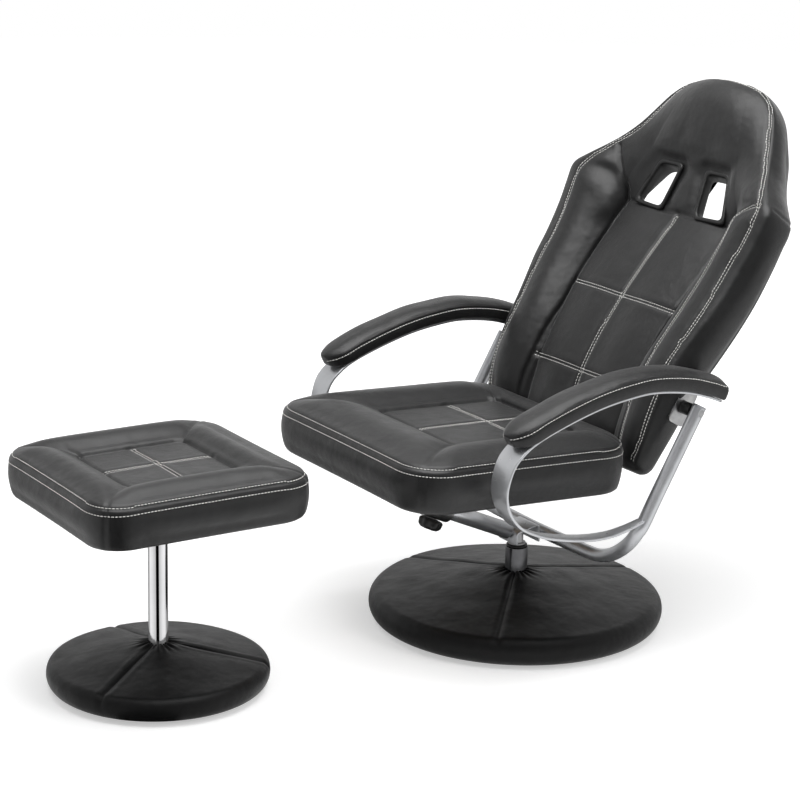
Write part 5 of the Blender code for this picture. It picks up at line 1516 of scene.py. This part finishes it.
def eased(share):
    """3 t^2 - 2 t^3 of the share, kept between 0 and 1: a step with soft ends."""
    t = np.clip(share, 0, 1)
    return t ** 2 * (3 - 2 * t)


def back_outlines(rows):
    """Half an outline for each station: from the middle of the front over the bolster and the
    side panel to the middle of the rear, as 15 points of across and depth. At the head the front
    blends into a pillow, whose depth goes from the middle's to the edge's with a power of the
    share of the width."""
    height, width, edge, middle, rear, bulge = rows.T
    seam = np.minimum(np.interp(height, SEAM_HEIGHTS, SEAM_ACROSS), width * 0.62)
    valley = EDGE_ROLL * np.clip((0.375 - height) / 0.03, 0.0, 1)
    rim, thick = width - seam, rear - edge
    crown = CROWN * np.clip((0.36 - height) / 0.03, 0, 1)
    across = [0 * seam, seam * 0.5, seam - EDGE_ROLL * 2, seam, seam + rim * 0.16,
              seam + rim * 0.40, width - rim * 0.22, width, width + bulge * 0.75, width + bulge,
              width + bulge * 0.80, width + EDGE_ROLL - bulge * 0.33,
              width - EDGE_ROLL * 5 * width / 0.268, width * 0.5, 0 * seam]
    depth = [middle, middle - crown, middle + valley * 0.8, middle + valley * 1.8,
             middle + (edge - middle) * 0.42, middle + (edge - middle) * 0.90, edge - EDGE_ROLL,
             edge - 0.0008, edge + thick * 0.03, edge + thick * 0.25, edge + thick * 0.60,
             rear - thick * 0.13, rear - EDGE_ROLL * 0.4, rear + EDGE_ROLL * 0.3,
             rear + EDGE_ROLL * 0.5]
    across, depth = np.stack(across, 1), np.stack(depth, 1)
    share = (across[:, :8] / width[:, None]) ** PILLOW_POWER
    pillow = middle[:, None] + (edge - middle)[:, None] * share
    head = eased((height[:, None] - 0.345) / 0.055)
    depth[:, :8] += (pillow - depth[:, :8]) * head
    return np.stack([across, depth], 2)


def round_curve(outlines):
    """Closed smooth outlines: the half is mirrored, and each span gets its own count of points
    on the Catmull-Rom cubic through it."""
    full = np.concatenate([outlines, outlines[:, -2:0:-1] * (-1, 1)], 1)
    counts = SPANS + SPANS[::-1]
    pieces = []
    for k, count in enumerate(counts):
        a, b, c, d = (full[:, (k + i) % full.shape[1]][:, None] for i in (-1, 0, 1, 2))
        t = (np.arange(count) / count)[None, :, None]
        pieces.append(0.5 * (2 * b + (c - a) * t + (2 * a - 5 * b + 4 * c - d) * t ** 2
                             + (3 * b - a - 3 * c + d) * t ** 3))
    return np.concatenate(pieces, 1)


def back_skin():
    """The skin of the back in its own frame, the grid of its points, and the column of its rear
    corner. The far side is widened with soft ends above the arms, and the rear is sunk by the
    product of two soft steps round the harness holes."""
    rows = evenly(smooth_through(STATIONS, 12), 0.0070)
    height = rows[:, :1]
    outline = round_curve(back_outlines(rows))
    above = np.clip((height - 0.08) / 0.10, 0, 1)
    across = outline[..., 0] - FAR_WIDENING * above * eased(-outline[..., 0] / 0.25)
    sunk = (eased((0.215 - np.abs(across)) / 0.045)
            * eased((0.068 - np.abs(height - 0.390)) / 0.022))
    depth = outline[..., 1] - REAR_SINK * sunk * (outline[..., 1] > 0.040)
    rings = np.stack([across, depth, np.repeat(height, outline.shape[1], 1)], 2)
    points, faces = closed_loft(rings)
    corner = sum(SPANS[:11])
    print("back grid", rings.shape)
    return outward(new_piece("back_cushion_skin", points, faces, leatherette)), rings, corner


back, back_rings, corner_column = back_skin()

# %% [markdown]
# The seams of the back are drawn as lines of across and height, and laid on its front from
# before. The left bolster has white topstitching along its crest and on its outer seam, and a
# fold where it meets the panel. The right bolster's inner seam has no topstitch: it is a deep
# dark fold that runs on to the shoulder.

# %% the back's seams
RING_CORNERS = np.array([(0.047, 0.3404), (0.138, 0.3444), (0.1043, 0.4404), (0.032, 0.4404)])
CREST_SHARE = 0.42
OUTER_SEAM = np.array([
    (0.226, -0.125), (0.238, -0.095), (0.244, -0.055), (0.246, -0.015), (0.243, 0.02),
    (0.240, 0.06), (0.244, 0.10), (0.250, 0.14), (0.253, 0.18), (0.255, 0.22), (0.257, 0.26),
    (0.262, 0.30), (0.266, 0.335), (0.267, 0.362), (0.262, 0.385), (0.250, 0.405), (0.233, 0.427),
    (0.213, 0.4534), (0.192, 0.4804), (0.168, 0.5194), (0.150, 0.5534), (0.133, 0.5774),
    (0.108, 0.598), (0.080, 0.6090), (0.040, 0.6140), (0.0, 0.6150)])


def in_front(tree, line, step=0.006, curved=True):
    """Lay a line of across and height on the surface, seen from before along the depth."""
    line = np.asarray(line, float)
    line = evenly(smooth_through(line, 8) if curved and len(line) > 2 else line, step)
    placed = []
    for across, height in line:
        hit = tree.ray_cast(Vector((across, -0.4, height)), Vector((0, 1, 0)))[0]
        if hit is None:
            hit = tree.find_nearest(Vector((across, -0.01, height)))[0]
        placed.append(tuple(hit))
    return np.array(placed)


def back_lines(tree):
    """Every seam of the back by name, on the surface that the tree holds. The crest lies a share
    of the way from the inner seam to the outline."""
    inner = np.stack([SEAM_ACROSS, SEAM_HEIGHTS], 1)
    widths = np.interp(SEAM_HEIGHTS, STATIONS[:, 0], STATIONS[:, 1])
    crest = inner + np.stack([CREST_SHARE * (widths - SEAM_ACROSS), 0 * widths], 1)
    near_top = [(0.217, 0.366), (0.231, 0.3765), (0.249, 0.3830), (0.267, 0.3860)]
    far_top = [(-0.166, 0.362), (-0.176, 0.382), (-0.191, 0.408), (-0.210, 0.440)]
    lines = {
        "middle": in_front(tree, [(0.0, -0.118), (0.0, 0.3440)], curved=False),
        "cross_high": in_front(tree, [(-0.154, 0.1564), (0.154, 0.1564)], curved=False),
        "cross_low": in_front(tree, [(-0.150, -0.0066), (0.150, -0.0066)], curved=False),
        "panel_top": in_front(tree, [(-0.163, 0.3474), (0.0, 0.3455), (0.163, 0.3474)]),
        "near_inner": in_front(tree, np.vstack([crest, near_top])),
        "near_fold": in_front(tree, inner),
        "far_inner": in_front(tree, np.vstack([inner * (-1, 1), far_top])),
    }
    for side, name in ((1, "near"), (-1, "far")):
        lines[f"{name}_outer"] = in_front(tree, OUTER_SEAM * (side, 1))
        side_line = np.array([(side * 0.290, -0.030, 0.3885), (side * 0.302, -0.005, 0.3885),
                              (side * 0.300, 0.025, 0.388), (side * 0.280, 0.050, 0.387)])
        lines[f"{name}_side"] = lay_on(tree, evenly(side_line, 0.005))[0]
    return lines


lines = back_lines(surface_of(back))
for side, column in (("near", corner_column), ("far", -corner_column)):
    lines[f"{side}_rear"] = back_rings[2:-1, column]
print("seams:", {name: round(float(travelled(line)[-1]), 3) for name, line in lines.items()})

# %% [markdown]
# The swell comes from the same simulation as the seat's. Points near a seam are pinned, and so
# are the ones round the harness holes, where the plastic holds the skin down, the lower end that
# comes close to the seat, and nearly all of the rear. The quilted panel is held a little.

# %% blow up and sew the back


BACK_SWELL = 0.008
SEAM_HELD = 0.0075


def ring_line(side, grow):
    """The outline of a harness hole, grown by a share, as a closed line of across and height."""
    middle = RING_CORNERS.mean(0)
    outline = middle + (RING_CORNERS - middle) * (1 + grow)
    closed = np.vstack([outline, outline[:1]]) * (side, 1)
    return evenly(closed, 0.006)


tree = surface_of(back)
held = [in_front(tree, ring_line(side, grow), curved=False) for side in (1, -1)
        for grow in (-0.6, -0.25, 0.0)]
QUILTING = ("middle", "cross_high", "cross_low")
firm = [line for name, line in lines.items() if name not in QUILTING]
pinned = pins_near(back, firm + held, SEAM_HELD)
across, depth, heights = points_of(back).T
for where, firmness in (((np.abs(across) < 0.15) & (heights < 0.345), QUILT_HELD),
                        ((heights < -0.085) | (heights > 0.608), 1.0), (depth > 0.030, 0.9)):
    pinned = np.maximum(pinned, where * firmness)
widest = blow_up(back, pinned, BACK_SWELL)
smooth_once(back)
tree = surface_of(back)
lines = {name: (in_front(tree, line[:, (0, 2)], curved=False) if name.split("_")[-1] in
                ("middle", "high", "low", "top", "inner", "outer", "fold")
                else lay_on(tree, line)[0]) for name, line in lines.items()}
TOPSTITCHED = ("near_inner", "near_outer", "far_outer")
# Names of seams, and the depth, the width and the swell of their furrows in metres.
FURROWS = ((QUILTING, 0.0026, 0.0040, 0.0006), (TOPSTITCHED, 0.0020, 0.0032, 0.0006),
           (("far_inner", "near_fold"), 0.0048, 0.0034, 0.0010),
           (("panel_top",), 0.0034, 0.0030, 0.0006),
           (("near_side", "near_rear", "far_side", "far_rear"), *BORDER_FURROW))
for names, *furrow in FURROWS:
    pinch_lines(back, [lines[name] for name in names], *furrow)
print("back:", len(back.data.polygons), "faces, widest move", round(widest, 4))

# %% [markdown]
# The harness holes are cut through with a Boolean, each by a funnel with the hole's outline in
# front that widens to both sides towards the rear. A moulded sleeve lines each hole: it stands for
# the front ring and for the trim on the rear.

# %% harness holes
FLARE = 0.036
HOLE_INSET = 0.0047
HOLE_HALF_WIDTH = 0.040
TOP_HEIGHT = 0.4404
TWIN_ON_BACK = 0.0036
# Rings of the cutter: the share of the flare, and the depth.
CUTTER_RINGS = ((0.0, -0.2), (0.0, 0.018), (1.0, 0.052), (1.0, 0.2))
# Rings of a sleeve's section: how far inside the outline, the share of the flare, and the depth.
SLEEVE_SECTION = (
    (0.0000, 0.0, 0.0030), (0.0004, 0.0, -0.0010), (0.0022, 0.0, -0.0030),
    (0.0050, 0.0, -0.0032), (0.0078, 0.0, -0.0022), (0.0092, 0.0, 0.0006),
    (0.0094, 0.0, 0.0150), (0.0080, 0.5, 0.0345), (0.0072, 1.0, 0.0505),
    (0.0040, 1.0, 0.0535), (-0.004, 1.0, 0.0535), (-0.005, 1.0, 0.0510),
    (0.0040, 1.0, 0.0490), (0.0060, 0.5, 0.0370), (0.0062, 0.0, 0.0170),
    (0.0040, 0.0, 0.0060))


def hole_outline(side, shrink, share, rounding=0.013, steps=6):
    """The ring's outline moved inwards with its corners rounded, and drawn out to both sides by
    the share of the flare."""
    corners = RING_CORNERS * (side, 1)
    if side < 0:
        corners = corners[::-1]
    sides = unit(np.roll(corners, -1, 0) - corners)
    moved = corners + np.stack([-sides[:, 1], sides[:, 0]], 1) * shrink
    before = np.roll(sides, 1, 0)
    gap = moved - np.roll(moved, 1, 0)
    across = before[:, 0] * sides[:, 1] - before[:, 1] * sides[:, 0]
    met = np.roll(moved, 1, 0) + before * ((gap[:, 0] * sides[:, 1] - gap[:, 1] * sides[:, 0])
                                           / across)[:, None]
    t = np.linspace(0, 1, steps)[:, None]
    outline = np.vstack([(1 - t) ** 2 * (spot - into * rounding) + 2 * t * (1 - t) * spot
                         + t ** 2 * (spot + out * rounding)
                         for spot, into, out in zip(met, before, sides)])
    middle = RING_CORNERS[:, 0].mean() * side
    outline[:, 0] += (outline[:, 0] - middle) / HOLE_HALF_WIDTH * FLARE * share
    return outline


def at_depth(outline, depth):
    """The outline as points at a depth. Near the front the depth leans with the height, as the
    front does there."""
    lean = 0.10 if depth < 0.03 else 0.0
    depths = depth + (TOP_HEIGHT - outline[:, 1]) * lean
    return np.stack([outline[:, 0], depths, outline[:, 1]], 1)


def hole_cutter(side):
    """A funnel-shaped block: as wide as the hole in front, and flared towards the rear."""
    rings = np.stack([at_depth(hole_outline(side, HOLE_INSET, share), depth)
                      for share, depth in CUTTER_RINGS])
    return outward(new_piece("hole_cutter", *closed_loft(rings), leatherette))


def make_sleeve(side, hand):
    """The moulded sleeve: a rounded lip on the front, a short straight wall and the flare, with a
    skin on both sides that meets at the rear."""
    rings = np.stack([at_depth(hole_outline(side, shrink, share), depth)
                      for shrink, share, depth in SLEEVE_SECTION])
    sleeve = outward(new_piece(f"harness_sleeve_{hand}", *ring_loft(rings), black_plastic))
    place(sleeve, BACK_MATRIX)
    smooth_once(sleeve)
    return set_in(sleeve, "back", (f"harness_ring_{hand}", f"harness_trim_{hand}"))


for side in (1, -1):
    cut(back, hole_cutter(side))
tree = surface_of(back)
lines["middle"] = lines["middle"][:-1]
rows = [beside(tree, lines[name], sign * TWIN_ON_BACK) for name in QUILTING + TOPSTITCHED
        for sign in (1, -1)]
for side, hand in ((1, "left"), (-1, "right")):
    make_sleeve(side, hand)
place(back, BACK_MATRIX)
set_in(back, "back", ("back_cushion", "back_board"))
sew("back_cushion_stitches", back, moved_by(rows, BACK_MATRIX), "back")
print(back.name, len(back.data.polygons), "faces")
